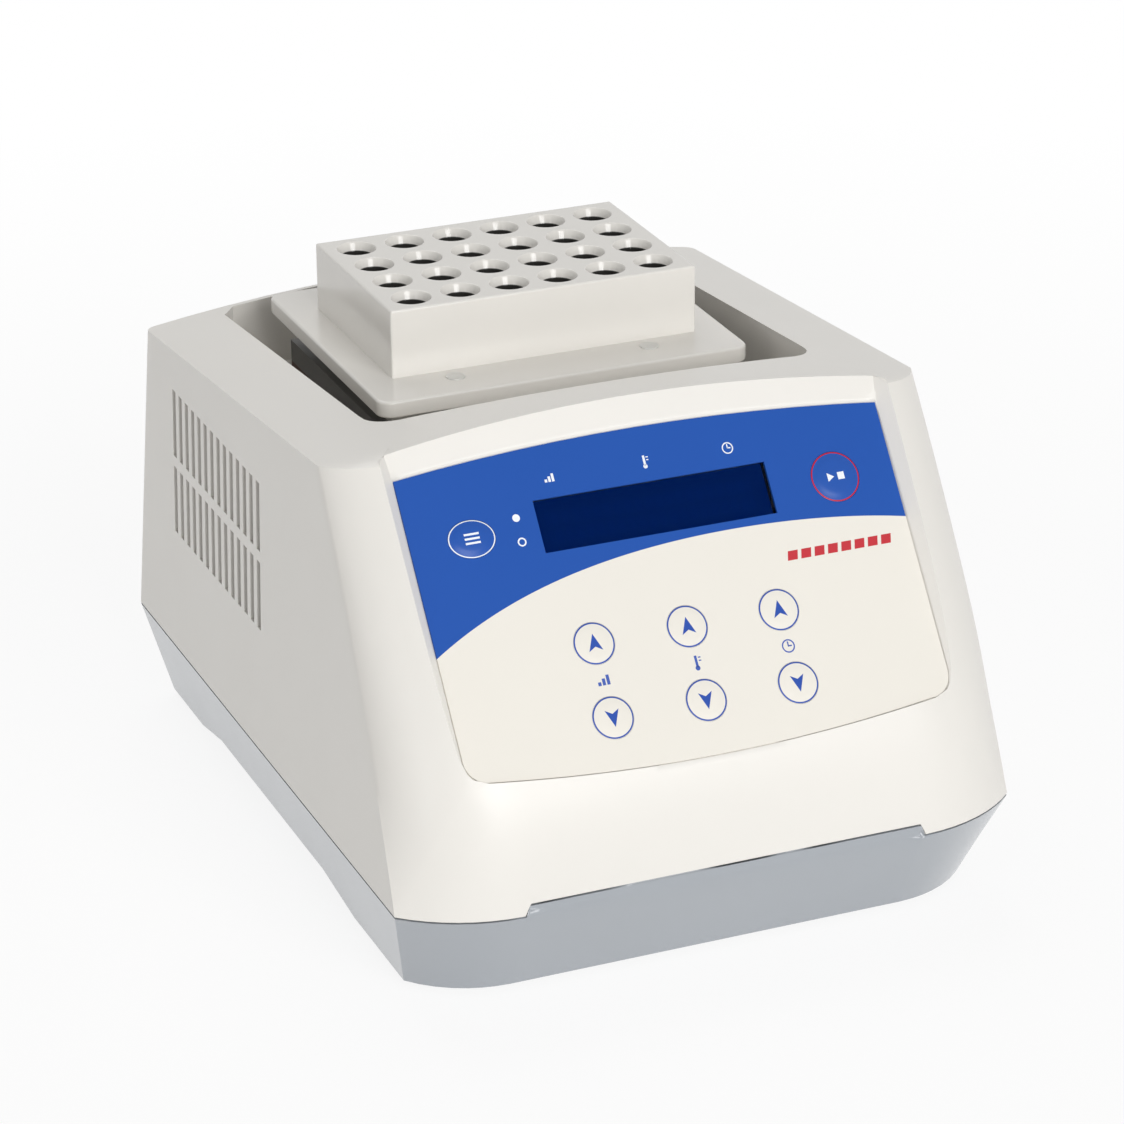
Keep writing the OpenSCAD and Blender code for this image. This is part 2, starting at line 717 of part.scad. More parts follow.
module pan_screw(z0, length) {
    rod(head_r, z0 - head_h, z0);
    rod(screw_r, z0 - eps, z0 + length);
}
module foot_screws() color("silver") each_at(feet) pan_screw(foot_h/2 + head_h, foot_seat + wall + 1);
module housing_screws() color("silver") each_at(posts) pan_screw(base_z + 2*wall, post_z);

// Panel and display
module panel_overlay() color("royalblue") at_panel() difference() {
    translate([0, 0, pocket_n]) linear_extrude(overlay_t) polygon(overlay_ring(0, 0, 0));
    translate([0, -window_s, 0]) slab(window_w, window_h, -2*overlay_t, 1);
    translate([prog_at[0], -prog_at[1], -2*overlay_t]) linear_extrude(4) key_shape(0, key_gap);
    translate([start_at[0], -start_at[1], -2*overlay_t]) linear_extrude(4) key_shape(1, key_gap);
    for (k = arrow_keys) translate([k[0], -k[1], -2*overlay_t]) linear_extrude(4) key_shape(2, key_gap);
}
module display_window() color([0.2, 0.25, 0.3, 0.4]) at_key([0, window_s])
    slab(window_w + 2*pane_rim, window_h + 2*pane_rim, pane_n, pocket_n);
module lcd_glass() color("midnightblue") at_key([0, window_s])
    slab(window_w + 2, window_h + 2, bezel_n + lcd_bezel_t - 1, bezel_n + lcd_bezel_t);
module lcd_frame() color("darkgreen") at_key([0, window_s]) difference() {
    union() {
        slab(lcd_pcb_w, lcd_pcb_h, lcd_pcb_n, bezel_n);
        slab(lcd_bezel_w, lcd_bezel_h, bezel_n - eps, bezel_n + lcd_bezel_t);
    }
    slab(window_w + 2, window_h + 2, bezel_n + lcd_bezel_t - 1, bezel_n + lcd_bezel_t + 1);
    corners(lcd_screw_x, lcd_screw_s) rod(screw_r + screw_gap, lcd_pcb_n - 1, bezel_n + 1);
}
module lcd_spacers() color("silver") at_key([0, window_s]) corners(lcd_screw_x, lcd_screw_s) {
    rod(2*screw_r, board_top_n, lcd_pcb_n);
    rod(screw_r, lcd_pcb_n - eps, bezel_n + head_h);
    rod(2*screw_r, bezel_n, bezel_n + head_h);
}
module control_board() color("green") at_panel() difference() {
    translate([0, -board_cs, 0]) slab(board_w, board_h, board_top_n - pcb_t, board_top_n);
    for (x = [-1, 1], s = board_screw_s) translate([x*board_screw_x, -s, 0])
        rod(screw_r + screw_gap, board_top_n - pcb_t - 1, board_top_n + 1);
}
module board_screws() color("silver") at_panel() for (x = [-1, 1], s = board_screw_s)
    translate([x*board_screw_x, -s, 0]) pan_screw(board_top_n - pcb_t, pcb_t + screw_len - 1);
module key_switches() color("black") for (k = all_keys) at_key(k) {
    slab(switch_a, switch_a, board_top_n, board_top_n + switch_h);
    rod(plunger_r - 0.75, board_top_n + switch_h - eps, switch_top_n);
}
module key_program() color("royalblue") key(0, prog_at);
module key_start() color("royalblue") key(1, start_at);
module key_seg_up() color("linen") key(2, arrow_keys[0]);
module key_seg_down() color("linen") key(2, arrow_keys[1]);
module key_temp_up() color("linen") key(2, arrow_keys[2]);
module key_temp_down() color("linen") key(2, arrow_keys[3]);
module key_time_up() color("linen") key(2, arrow_keys[4]);
module key_time_down() color("linen") key(2, arrow_keys[5]);

// Block and heater
tube_at = [for (i = [0:tubes_x - 1], j = [0:tubes_y - 1])
    [(i - (tubes_x - 1)/2)*tube_pitch, (j - (tubes_y - 1)/2)*tube_pitch]];
module screw_holes(r, z0, z1) corners(block_screw_x, block_screw_y) rod(r, z0, z1);
module tube_block() color("lightgray") at_block() difference() {
    union() {
        rounded_plate(block_x, block_y, edge_r, block_low, block_top);
        rounded_plate(block_x + 2*shoulder, block_y + 2*shoulder, edge_r, block_low, flange_low);
    }
    each_at(tube_at) {
        rod(tube_r, block_low + tube_floor, block_top + 1);
        translate([0, 0, block_top - tube_mouth_h])
            cylinder(r1 = tube_r, r2 = tube_mouth_r + eps, h = tube_mouth_h + eps);
    }
}
module block_flange() color("lightgray") at_block() difference() {
    rounded_plate(flange_x, flange_y, flange_r, flange_low, flange_z);
    rounded_plate(block_x, block_y, edge_r, flange_low - 1, flange_z + 1);
    screw_holes(screw_r + screw_gap, flange_low - 1, flange_z + 1);
    screw_holes(block_head_r + screw_gap, flange_z - block_head_h, flange_z + 1);
}
module block_screws() color("silver") at_block() corners(block_screw_x, block_screw_y) {
    rod(block_head_r, flange_z - block_head_h, flange_z + 0.3);
    rod(screw_r, flange_low - screw_len, flange_z - block_head_h + eps);
}
module heater_plate() color("silver") at_block() difference() {
    union() {
        slab(stack_x, stack_y, heater_z, block_low);
        corners(block_screw_x, block_screw_y) rod(heater_post_r, block_low - eps, flange_low);
    }
    screw_holes(screw_r + screw_gap, flange_low - screw_len - 0.5, flange_low + 1);
    screw_holes(screw_r + screw_gap, heater_z - 1, heater_z + heater_t/2);
    translate([0, stack_y/2 + 1, heater_z + heater_t/2]) rotate([90, 0, 0])
        rod(probe_r + screw_gap, 0, probe_l + 1);
}
module heater_mat() color("orangered") at_block() difference() {
    slab(stack_x, stack_y, mat_z, heater_z);
    screw_holes(screw_r + screw_gap, mat_z - 1, heater_z + 1);
}
module clamp_plate() color("silver") at_block() difference() {
    slab(stack_x, stack_y, clamp_z, mat_z);
    screw_holes(screw_r + screw_gap, clamp_z - 1, mat_z + 1);
}
module insulation() color("khaki") at_block() difference() {
    slab(stack_x, stack_y, insul_z, clamp_z);
    screw_holes(spacer_r + screw_gap, insul_z - 1, clamp_z + 1);
    rod(cutout_r + screw_gap, insul_z - 1, clamp_z + 1);
}
module ceramic_spacers() color("white") at_block() corners(block_screw_x, block_screw_y) difference() {
    rod(spacer_r, insul_z, clamp_z);
    rod(screw_r + screw_gap, insul_z - 1, clamp_z + 1);
}
module temp_probe() color("silver") at_block() translate([0, stack_y/2 + 4, heater_z + heater_t/2])
    rotate([90, 0, 0]) rod(probe_r, 0, probe_l + 4);
module heat_cutout() color("dimgray") at_block() {
    rod(cutout_r, clamp_z - 6, clamp_z);
    rod(cutout_r/2, clamp_z - 10, clamp_z - 6 + eps);
}
module heater_bridge() color("silver") at_block() difference() {
    union() {
        slab(bridge_x, bridge_y, bridge_z, insul_z);
        for (side = [-1, 1]) {
            translate([side*(bridge_x - bridge_t)/2, 0, 0]) slab(bridge_t, bridge_y, boss_z, bridge_z + eps);
            translate([side*(bridge_x + flange)/2, 0, 0])
                slab(flange + 2*bridge_t, bridge_y, boss_z, boss_z + bridge_t);
        }
    }
    corners(bridge_screw_x, bridge_screw_y) rod(screw_r + screw_gap, boss_z - 1, boss_z + 2*bridge_t);
    screw_holes(screw_r + screw_gap, bridge_z - 1, insul_z + 1);
    rod(cutout_r, bridge_z - 1, insul_z + 1);
}
module down_screw(z0, length) {
    rod(head_r, z0, z0 + head_h);
    rod(screw_r, z0 - length, z0 + eps);
}
module bridge_screws() color("silver") {
    each_at(bridge_screws_at) down_screw(boss_z + bridge_t, bridge_t + boss_h);
    at_block() corners(block_screw_x, block_screw_y)
        pan_screw(bridge_z, heater_z - bridge_z + heater_t/2 - 0.5);
}

// Power section
coil_x = trafo_x/3;
module transformer() color("dimgray") at_block() difference() {
    union() {
        slab(trafo_x, trafo_y, boss_z + bridge_t, boss_z + bridge_t + trafo_z);
        difference() {
            slab(2*trafo_screw_x + 2*boss_r, trafo_y/2, boss_z, boss_z + bridge_t);
            corners(trafo_screw_x, 0) rod(screw_r + screw_gap, boss_z - 1, boss_z + 2*bridge_t);
        }
    }
    for (side = [-1, 1]) translate([side*(coil_x/2 + trafo_coil/2), 0, 0])
        slab(trafo_coil, 2*trafo_y, boss_z + bridge_t + trafo_coil, boss_z + bridge_t + trafo_z - trafo_coil);
}
module transformer_coil() color("goldenrod") at_block() difference() {
    slab(coil_x + 2*trafo_coil - 2*screw_gap, trafo_y + 2*trafo_coil,
        boss_z + bridge_t + trafo_coil, boss_z + bridge_t + trafo_z - trafo_coil);
    slab(trafo_x, trafo_y, boss_z, boss_z + bridge_t + trafo_coil);
    slab(coil_x, trafo_y, boss_z, boss_z + 2*trafo_z);
}
module transformer_screws() color("silver")
    each_at(trafo_screws_at) down_screw(boss_z + bridge_t, bridge_t + boss_h);
module power_board() color("green") difference() {
    translate([0, power_cy, 0]) slab(power_x, power_y, boss_z, boss_z + pcb_t);
    each_at(power_screws_at) rod(screw_r + screw_gap, boss_z - 1, boss_z + pcb_t + 1);
}
module power_screws() color("silver") each_at(power_screws_at) down_screw(boss_z + pcb_t, pcb_t + boss_h);
module heat_sink() color("darkgray") translate([0, power_cy, boss_z + pcb_t]) {
    slab(power_x/2, power_y/3, 0, sink_t);
    for (i = [0:fins - 1]) translate([0, (i/(fins - 1) - 0.5)*(power_y/3 - fin_t), 0])
        slab(power_x/2, fin_t, sink_t - eps, sink_h);
}

// Fan
module at_fan() translate([fan_seat, vent_cy, vent_cz]) rotate([0, -90, 0]) children();
fan_struts = 3;
module fan_frame() color("dimgray") at_fan() difference() {
    slab(fan_a, fan_a, 0, fan_t);
    difference() {
        rod(fan_hole_r, -1, fan_t + 1);
        rod(fan_hub_r, 0, 2);
        for (i = [0:fan_struts - 1]) rotate(360/fan_struts*i + 45) translate([fan_hole_r/2, 0, 0])
            slab(fan_hole_r + 2, 4, 0, 2);
    }
    rod(pivot_r + pivot_gap, -1, 3);
    corners(fan_pitch/2, fan_pitch/2) rod(screw_r + screw_gap, -1, fan_t + 1);
}
module fan_rotor() color("black") at_fan() {
    rod(pivot_r, 0.2, 3);
    rod(fan_hub_r, 2.5, fan_t - 0.5);
    for (i = [0:blades - 1]) rotate(360/blades*i) translate([(fan_hub_r + fan_blade_r)/2 - 1, 0, fan_t/2 + 1])
        rotate([40, 0, 0]) cube([fan_blade_r - fan_hub_r, 1.2, fan_t - 5], center = true);
}
module fan_screws() color("silver") at_fan() corners(fan_pitch/2, fan_pitch/2) {
    rod(screw_r, -1.5, fan_t + eps);
    rod(head_r, fan_t, fan_t + head_h);
}

// Back wall fittings
module at_inlet() at_back(-inlet_x, back_z) children();
module at_switch() at_back(-inlet_x + switch_dx, back_z) children();
pins_at = [[-pin_dx, 0], [pin_dx, 0], [0, pin_up]];
module inlet_socket() color("black") at_inlet() difference() {
    union() {
        slab(inlet_w, inlet_h, 0, inlet_t);
        slab(inlet_body_w, inlet_body_h, -inlet_body_d, eps);
    }
    translate([0, cavity_u, 0]) slab(cavity_w, cavity_h, -cavity_d + inlet_t, inlet_t + 1);
    translate([0, fuse_u, 0]) slab(fuse_w + 2*fuse_gap, fuse_h + 2*fuse_gap, -inlet_body_d + 2, inlet_t + 1);
    for (p = pins_at) translate([p[0], cavity_u + p[1], 0])
        slab(pin_w + 2*pivot_gap, pin_h + 2*pivot_gap, -inlet_body_d - 1, 0);
    for (x = [-1, 1]) translate([x*inlet_screw_x, 0, 0]) rod(screw_r + screw_gap, -1, inlet_t + 1);
}
module inlet_pins() color("silver") at_inlet() for (p = pins_at) translate([p[0], cavity_u + p[1], 0])
    slab(pin_w, pin_h, -inlet_body_d - pin_tail, 0);
module fuse_drawer() color("black") at_inlet() translate([0, fuse_u, 0]) difference() {
    union() {
        slab(fuse_w, fuse_h, -inlet_body_d + 2 + fuse_gap, inlet_t);
        slab(fuse_w + 2*fuse_rim, fuse_h + fuse_rim, inlet_t, inlet_t + fuse_front);
    }
    translate([0, fuse_floor + fuse_h/2, 0]) slab(fuse_w - 3, fuse_h, -inlet_body_d + 4, -1);
}
module fuse_link() color("silver") at_inlet()
    translate([0, fuse_u + fuse_floor + fuse_link_r, -inlet_body_d/2]) rotate([0, 90, 0])
        rod(fuse_link_r, -fuse_l/2, fuse_l/2);
module inlet_screws() color("silver") at_inlet() for (x = [-1, 1]) translate([x*inlet_screw_x, 0, 0]) {
    rod(head_r, inlet_t, inlet_t + head_h);
    rod(screw_r, -2*wall, inlet_t + eps);
    rod(2*screw_r, -wall - 2.4, -wall);
}
module switch_body() color("black") at_switch() difference() {
    union() {
        slab(rocker_w, rocker_h, 0, bezel_t);
        slab(rocker_body_w, rocker_body_h, -rocker_body_d, eps);
    }
    slab(rocker_in_w, rocker_in_h, -rocker_body_d + 2, bezel_t + 1);
    rotate([0, 90, 0]) rod(pivot_r + pivot_gap, -rocker_body_w/2 + 1, rocker_body_w/2 - 1);
}
module switch_rocker() color("darkred") at_switch() {
    rotate([0, 90, 0]) rod(pivot_r, -rocker_body_w/2 + 1.2, rocker_body_w/2 - 1.2);
    rotate([-rocker_swing, 0, 0]) rotate([0, 90, 0]) linear_extrude(rocker_in_w - 0.8, center = true)
        intersection() {
            circle(r = rocker_r);
            polygon([[-4.6, -rocker_r], [-2.8, 0], [-4.6, rocker_r], [3, rocker_r], [7, 4], [7, -4],
                [3, -rocker_r]]);
        }
}

upper_housing();
base_tray();
panel_overlay();
display_window();
lcd_glass();
lcd_frame();
lcd_spacers();
control_board();
board_screws();
key_switches();
key_program();
key_start();
key_seg_up();
key_seg_down();
key_temp_up();
key_temp_down();
key_time_up();
key_time_down();
tube_block();
block_flange();
block_screws();
heater_plate();
heater_mat();
clamp_plate();
insulation();
ceramic_spacers();
temp_probe();
heat_cutout();
heater_bridge();
bridge_screws();
transformer();
transformer_coil();
transformer_screws();
power_board();
power_screws();
heat_sink();
fan_frame();
fan_rotor();
fan_screws();
inlet_socket();
inlet_pins();
fuse_drawer();
fuse_link();
inlet_screws();
switch_body();
switch_rocker();
rubber_feet();
foot_screws();
housing_screws();
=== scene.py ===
"""Looks of a dry block heater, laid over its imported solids. Lengths inside the shape code are millimetres."""

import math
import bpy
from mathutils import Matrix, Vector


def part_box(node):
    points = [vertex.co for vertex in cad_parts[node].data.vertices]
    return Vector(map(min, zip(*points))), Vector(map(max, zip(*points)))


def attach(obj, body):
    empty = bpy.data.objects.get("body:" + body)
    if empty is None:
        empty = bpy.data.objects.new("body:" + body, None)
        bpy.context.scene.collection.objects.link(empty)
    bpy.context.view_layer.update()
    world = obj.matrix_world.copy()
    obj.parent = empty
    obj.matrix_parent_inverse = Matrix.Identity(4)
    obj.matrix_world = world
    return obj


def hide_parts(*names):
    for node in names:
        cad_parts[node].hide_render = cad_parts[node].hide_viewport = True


bl_info = {
    "name": "Dry block heater",
    "version": (1, 0, 0),
    "blender": (4, 5, 0),
    "location": "View3D > Sidebar > Block heater",
    "description": "Skins, prints, finishes and studio of a dry block heater for sample tubes",
    "category": "Object",
}

import bmesh
import bpy
import numpy as np
from mathutils import Matrix, Vector

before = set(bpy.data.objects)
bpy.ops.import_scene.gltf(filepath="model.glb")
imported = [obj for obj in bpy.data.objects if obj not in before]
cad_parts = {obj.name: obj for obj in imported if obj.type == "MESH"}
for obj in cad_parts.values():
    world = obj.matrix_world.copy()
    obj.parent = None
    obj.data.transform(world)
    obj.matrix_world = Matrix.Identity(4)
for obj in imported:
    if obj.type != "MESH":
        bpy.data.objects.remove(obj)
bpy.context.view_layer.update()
MM = 0.001
NEAR = 1e-6
MERGE = 0.003 * MM
BORDER_MERGE = 0.004 * MM
GRAIN_DEPTH, LINE_DEPTH = 0.00003, 0.00001
HOUSING_LOW, HOUSING_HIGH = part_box("upper_housing")
BLOCK_LOW, BLOCK_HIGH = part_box("tube_block")


def length(mm, name, words):
    return bpy.props.FloatProperty(
        name=name, description=words, default=mm * MM, min=0.0, unit="LENGTH", precision=5)


def degrees(value, name, words):
    return bpy.props.FloatProperty(name=name, description=words, default=math.radians(value), subtype="ANGLE")


def paint(red, green, blue, name, words):
    """A colour given as it looks on a screen, kept as linear light."""
    flat = [c / 255.0 for c in (red, green, blue)]
    linear = [c / 12.92 if c < 0.0405 else ((c + 0.055) / 1.055) ** 2.4 for c in flat]
    return bpy.props.FloatVectorProperty(
        name=name, description=words, default=linear, min=0.0, max=1.0, subtype="COLOR")


class HeaterSizes(bpy.types.PropertyGroup):
    """Sizes of the skins and prints."""

    body_w: length((HOUSING_HIGH[0] - HOUSING_LOW[0]) / MM, "Body width", "Width of the body at the seam")
    body_d: length((HOUSING_HIGH[1] - HOUSING_LOW[1]) / MM, "Body depth", "Depth of the body at the seam")
    seam_z: length(35.5, "Seam height", "Height of the seam between housing and base")
    top_w: length(215.2, "Top width", "Width of the top between its side creases")
    crown_z: length(168.98, "Crown height", "Height of the crowned top above the origin")
    crown_r: length(650.0, "Crown radius", "Radius of the crown across the top")
    top_tilt: degrees(5.0, "Top tilt", "Slope of the top down to the back")
    back_lean: length(17.5, "Back lean", "Lean of the back wall between the seam and the top")
    back_r: length(3.3, "Back corner", "Radius of the back corners")
    edge_round: length(1.1, "Edge rounding", "Rounding of the housing's edges")
    slot_round: length(0.3, "Slot rounding", "Rounding of the vent slots' edges")
    seam_gap: length(0.35, "Seam gap", "Half the width of the groove in the seam")
    base_round: length(1.2, "Base rounding", "Rounding of the base's edges")
    block_round: length(0.7, "Block rounding", "Rounding of the tube block's edges")
    flange_round: length(1.0, "Flange rounding", "Rounding of the flange's edges")
    panel_angle: degrees(52.2, "Panel angle", "Slope of the panel from level")
    panel_y: length(79.3, "Panel datum, forward", "Distance of the panel's datum in front of the origin")
    panel_z: length(149.0, "Panel datum, height", "Height of the panel's datum")
    key_dome: length(0.35, "Key dome", "Rise of a key's middle above its rim")
    print_lift: length(0.03, "Print thickness", "Height of the printed signs above the film")


class HeaterColours(bpy.types.PropertyGroup):
    """Colours of the finishes, as they look on a screen."""

    housing: paint(230, 227, 221, "Housing", "Warm off-white of the housing")
    base: paint(158, 163, 169, "Base", "Grey-blue of the base")
    block: paint(230, 227, 221, "Tube block", "Light grey of the tube block")
    film_blue: paint(37, 85, 171, "Film blue", "Blue of the panel's upper field and of the side keys")
    film_white: paint(236, 232, 223, "Film white", "Warm white of the panel's lower field")
    print_blue: paint(50, 84, 172, "Print blue", "Blue of the arrows and rings")
    print_white: paint(240, 243, 248, "Print white", "White of the signs on blue")
    print_red: paint(190, 26, 42, "Print red", "Red of the stripe and of the start key's ring")
    display: paint(1, 24, 78, "Display", "Dark blue of the display")
    floor: paint(250, 250, 250, "Floor", "White of the studio floor")


class Val:
    """A shader socket that takes part in Python arithmetic."""

    def __init__(self, tree, socket):
        self.tree = tree
        self.socket = socket

    def math(self, operation, *values):
        node = self.tree.nodes.new("ShaderNodeMath")
        node.operation = operation
        for socket, value in zip(node.inputs, values):
            feed(self.tree, socket, value)
        return Val(self.tree, node.outputs[0])

    def __add__(self, other):
        return self.math("ADD", self, other)

    def __sub__(self, other):
        return self.math("SUBTRACT", self, other)

    def __rsub__(self, other):
        return self.math("SUBTRACT", other, self)

    def __mul__(self, other):
        return self.math("MULTIPLY", self, other)

    def __truediv__(self, other):
        return self.math("DIVIDE", self, other)

    def __abs__(self):
        return self.math("ABSOLUTE", self)

    __radd__ = __add__
    __rmul__ = __mul__

    def most(self, other):
        return self.math("MAXIMUM", self, other)

    def root(self):
        return self.math("SQRT", self)

    def whole(self):
        return self.math("ROUND", self)

    def under(self, edge, soft=0.00006):
        """1 where the value is under the edge, 0 over it, with a thin soft border."""
        return ((edge - self) / soft + 0.5).clamp()

    def clamp(self):
        node = self.tree.nodes.new("ShaderNodeClamp")
        feed(self.tree, node.inputs["Value"], self)
        return Val(self.tree, node.outputs[0])


def feed(tree, socket, value):
    """Links a Val to a socket, or sets the socket to a plain value."""
    if isinstance(value, Val):
        tree.links.new(value.socket, socket)
    elif socket.type == "RGBA" and len(value) == 3:
        socket.default_value = (*value, 1.0)
    else:
        socket.default_value = value


def socket_key(word):
    """A socket's number, written as _0, or its name, with underscores for its blanks."""
    return int(word[1:]) if word[0] == "_" else word.replace("_", " ")


class Finish:
    """A material under construction: one Principled shader and the nodes that feed it."""

    def __init__(self, name, **fixed):
        self.material = bpy.data.materials.new(name)
        self.material.use_nodes = True
        self.tree = self.material.node_tree
        self.shader = next(n for n in self.tree.nodes if n.type == "BSDF_PRINCIPLED")
        self.set(**fixed)
        self.place = self.node("ShaderNodeTexCoord")["Object"]
        split = self.node("ShaderNodeSeparateXYZ", Vector=self.place)
        self.x, self.y, self.z = split["X"], split["Y"], split["Z"]

    def node(self, kind, settings=None, **inputs):
        """Adds a node, sets it, feeds its sockets, and gives its outputs by name."""
        node = self.tree.nodes.new(kind)
        for key, value in (settings or {}).items():
            setattr(node, key, value)
        for key, value in inputs.items():
            feed(self.tree, node.inputs[socket_key(key)], value)
        return {out.name: Val(self.tree, out) for out in node.outputs if out.enabled}

    def set(self, **values):
        for key, value in values.items():
            feed(self.tree, self.shader.inputs[key.replace("_", " ")], value)
        return self

    def noise(self, scale, detail=2.0, rough=0.5):
        inputs = {"Vector": self.place, "Scale": scale, "Detail": detail, "Roughness": rough}
        return self.node("ShaderNodeTexNoise", **inputs)["Fac"]

    def waves(self, way, scale, distortion):
        """Bands along an axis, as layers and windings have."""
        inputs = {"Vector": self.place, "Scale": scale, "Distortion": distortion}
        return self.node("ShaderNodeTexWave", {"bands_direction": way}, **inputs)["Fac"]

    def mix(self, a, b, amount):
        return self.node("ShaderNodeMix", {"data_type": "RGBA"}, _0=amount, _6=a, _7=b)["Result"]

    def mottled(self, colour, dark, light, scale, detail=2.0):
        """A colour that drifts between a darker and a lighter shade of itself."""
        return self.mix(shade(colour, dark), shade(colour, light), self.noise(scale, detail))

    def bump(self, height, depth, strength=1.0):
        made = self.node("ShaderNodeBump", Height=height, Distance=depth, Strength=strength)
        return self.set(Normal=made["Normal"])

    def stretched(self, along, across, up):
        return self.node("ShaderNodeMapping", Vector=self.place, Scale=(along, across, up))["Vector"]

    def down_panel(self, form):
        """Distance down the panel's slope from its datum, in metres."""
        c, s = math.cos(form.angle), math.sin(form.angle)
        return (form.py * MM * c + form.pz * MM * s) - self.y * c - self.z * s


def shade(colour, factor):
    return tuple(min(1.0, c * factor) for c in colour)


def moulded(name, colour, rough, grain=2600.0, coat=0.0):
    """Injection-moulded plastic: a fine eroded grain, faint flow mottling and uneven gloss."""
    made = Finish(name, Coat_Weight=coat, Coat_Roughness=0.25)
    fine = made.noise(grain)
    made.set(Base_Color=made.mottled(colour, 0.975, 1.02, 14.0, 3.0))
    made.set(Roughness=rough - 0.04 + 0.08 * made.noise(40.0) + 0.05 * fine)
    return made.bump(fine, GRAIN_DEPTH, 0.35).material


def machined(name, colour, metal, rough, along=(1.0, 1.0, 60.0)):
    """Turned or milled metal: fine tool lines and a little uneven gloss."""
    made = Finish(name, Metallic=metal)
    lines = made.node("ShaderNodeTexNoise", Vector=made.stretched(*along), Scale=120.0, Detail=3.0)["Fac"]
    made.set(Base_Color=made.mix(shade(colour, 0.93), shade(colour, 1.05), lines))
    made.set(Roughness=rough - 0.05 + 0.12 * lines)
    return made.bump(lines, LINE_DEPTH, 0.4).material


def turn_outwards(made):
    """Makes the faces agree, with the topmost one facing up."""
    bmesh.ops.recalc_face_normals(made, faces=made.faces[:])
    if max(made.faces, key=lambda f: f.calc_center_median().z).normal.z < 0:
        bmesh.ops.reverse_faces(made, faces=made.faces[:])


class Patchwork:
    """Grids of points, in millimetres, that become one mesh."""

    def __init__(self):
        self.points = []
        self.faces = []

    def grid(self, rows, skip=None):
        rows = [[tuple(p) for p in row] for row in rows]
        wide = len(rows[0])
        start = len(self.points)
        for row in rows:
            self.points += row
        for i in range(len(rows) - 1):
            for j in range(wide - 1):
                if skip and skip(i, j):
                    continue
                k = start + i * wide + j
                self.faces.append((k, k + 1, k + wide + 1, k + wide))

    def cap(self, ring):
        start = len(self.points)
        self.points += [tuple(p) for p in ring]
        self.faces.append(tuple(range(start, start + len(ring))))

    def build(self, mirrored=False):
        """The mesh, with its doubles merged and its faces outwards; mirrored adds the left half."""
        made = bmesh.new()
        corners = [made.verts.new((p[0] * MM, p[1] * MM, p[2] * MM)) for p in self.points]
        for face in self.faces:
            made.faces.new([corners[i] for i in face])
        if mirrored:
            copy = bmesh.ops.duplicate(made, geom=made.faces[:] + made.edges[:] + made.verts[:])["geom"]
            for vert in [g for g in copy if isinstance(g, bmesh.types.BMVert)]:
                vert.co.x = -vert.co.x
        bmesh.ops.remove_doubles(made, verts=made.verts[:], dist=MERGE)
        bmesh.ops.dissolve_degenerate(made, dist=MERGE, edges=made.edges[:])
        turn_outwards(made)
        return made


def soften(made, limit, weigh=None):
    """Gives every edge that turns by more than a limit, in degrees, a weight for the Bevel modifier."""
    layer = made.edges.layers.float.new("bevel_weight_edge")
    for edge in made.edges:
        if len(edge.link_faces) == 2 and edge.calc_face_angle(0.0) > math.radians(limit):
            edge[layer] = weigh(edge) if weigh else 1.0


def as_object(name, made, material, smooth=True):
    mesh = bpy.data.meshes.new(name)
    made.to_mesh(mesh)
    made.free()
    for face in mesh.polygons:
        face.use_smooth = smooth
    mesh.materials.append(material)
    thing = bpy.data.objects.new(name, mesh)
    bpy.context.scene.collection.objects.link(thing)
    return thing


def plain(thing):
    """Turns an object's modifiers into plain mesh."""
    graph = bpy.context.evaluated_depsgraph_get()
    shown = thing.evaluated_get(graph)
    mesh = bpy.data.meshes.new_from_object(shown, preserve_all_data_layers=True, depsgraph=graph)
    old = thing.data
    thing.modifiers.clear()
    thing.data = mesh
    mesh.name = thing.name
    bpy.data.meshes.remove(old)
    return thing


def rounded(thing, width, segments=3):
    """Rounds the weighted edges, evens the shading, and leaves a plain mesh."""
    bevel = thing.modifiers.new("Rounding", "BEVEL")
    bevel.limit_method = "WEIGHT"
    bevel.width = width
    bevel.segments = segments
    bevel.miter_outer = "MITER_ARC"
    even = thing.modifiers.new("Even shading", "WEIGHTED_NORMAL")
    even.keep_sharp = False
    even.weight = 60
    return plain(thing)


def seat(thing, body, slot, *nodes):
    """Lets a piece ride on its body and hides the solids that it stands for; its slot is not used."""
    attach(thing, body)
    if nodes:
        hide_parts(*nodes)
    return thing


def dress(material, *nodes):
    """Gives carried-over solids a finish."""
    for node in nodes:
        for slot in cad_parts[node].material_slots:
            slot.material = material


def lerp(a, b, t):
    return a + (b - a) * t


def arc(cx, cy, r, a, b, n):
    turns = [lerp(a, b, i / n) for i in range(n + 1)]
    return [(cx + r * math.cos(t), cy + r * math.sin(t)) for t in turns]


def resampled(path, at):
    """Points of a polyline at shares of its length."""
    path = np.asarray(path, float)
    run = np.concatenate([[0.0], np.cumsum(np.linalg.norm(np.diff(path[:, :3], axis=0), axis=1))])
    at = np.asarray(at) * run[-1]
    return np.stack([np.interp(at, run, path[:, k]) for k in range(path.shape[1])], axis=1)


def bezier(c, t):
    u = 1.0 - t
    return [u**3 * p + 3 * t * u * u * q + 3 * t * t * u * r + t**3 * s for p, q, r, s in zip(*c)]


def last_passing(lo, hi, passes):
    """Halves a range down to the last value that passes a test."""
    for _ in range(40):
        mid = (lo + hi) / 2
        if passes(mid):
            lo = mid
        else:
            hi = mid
    return lo


def curve_y(c, z):
    """Distance along Y of a curve at a height."""
    return bezier(c, last_passing(0.0, 1.0, lambda t: bezier(c, t)[1] < z))[0]


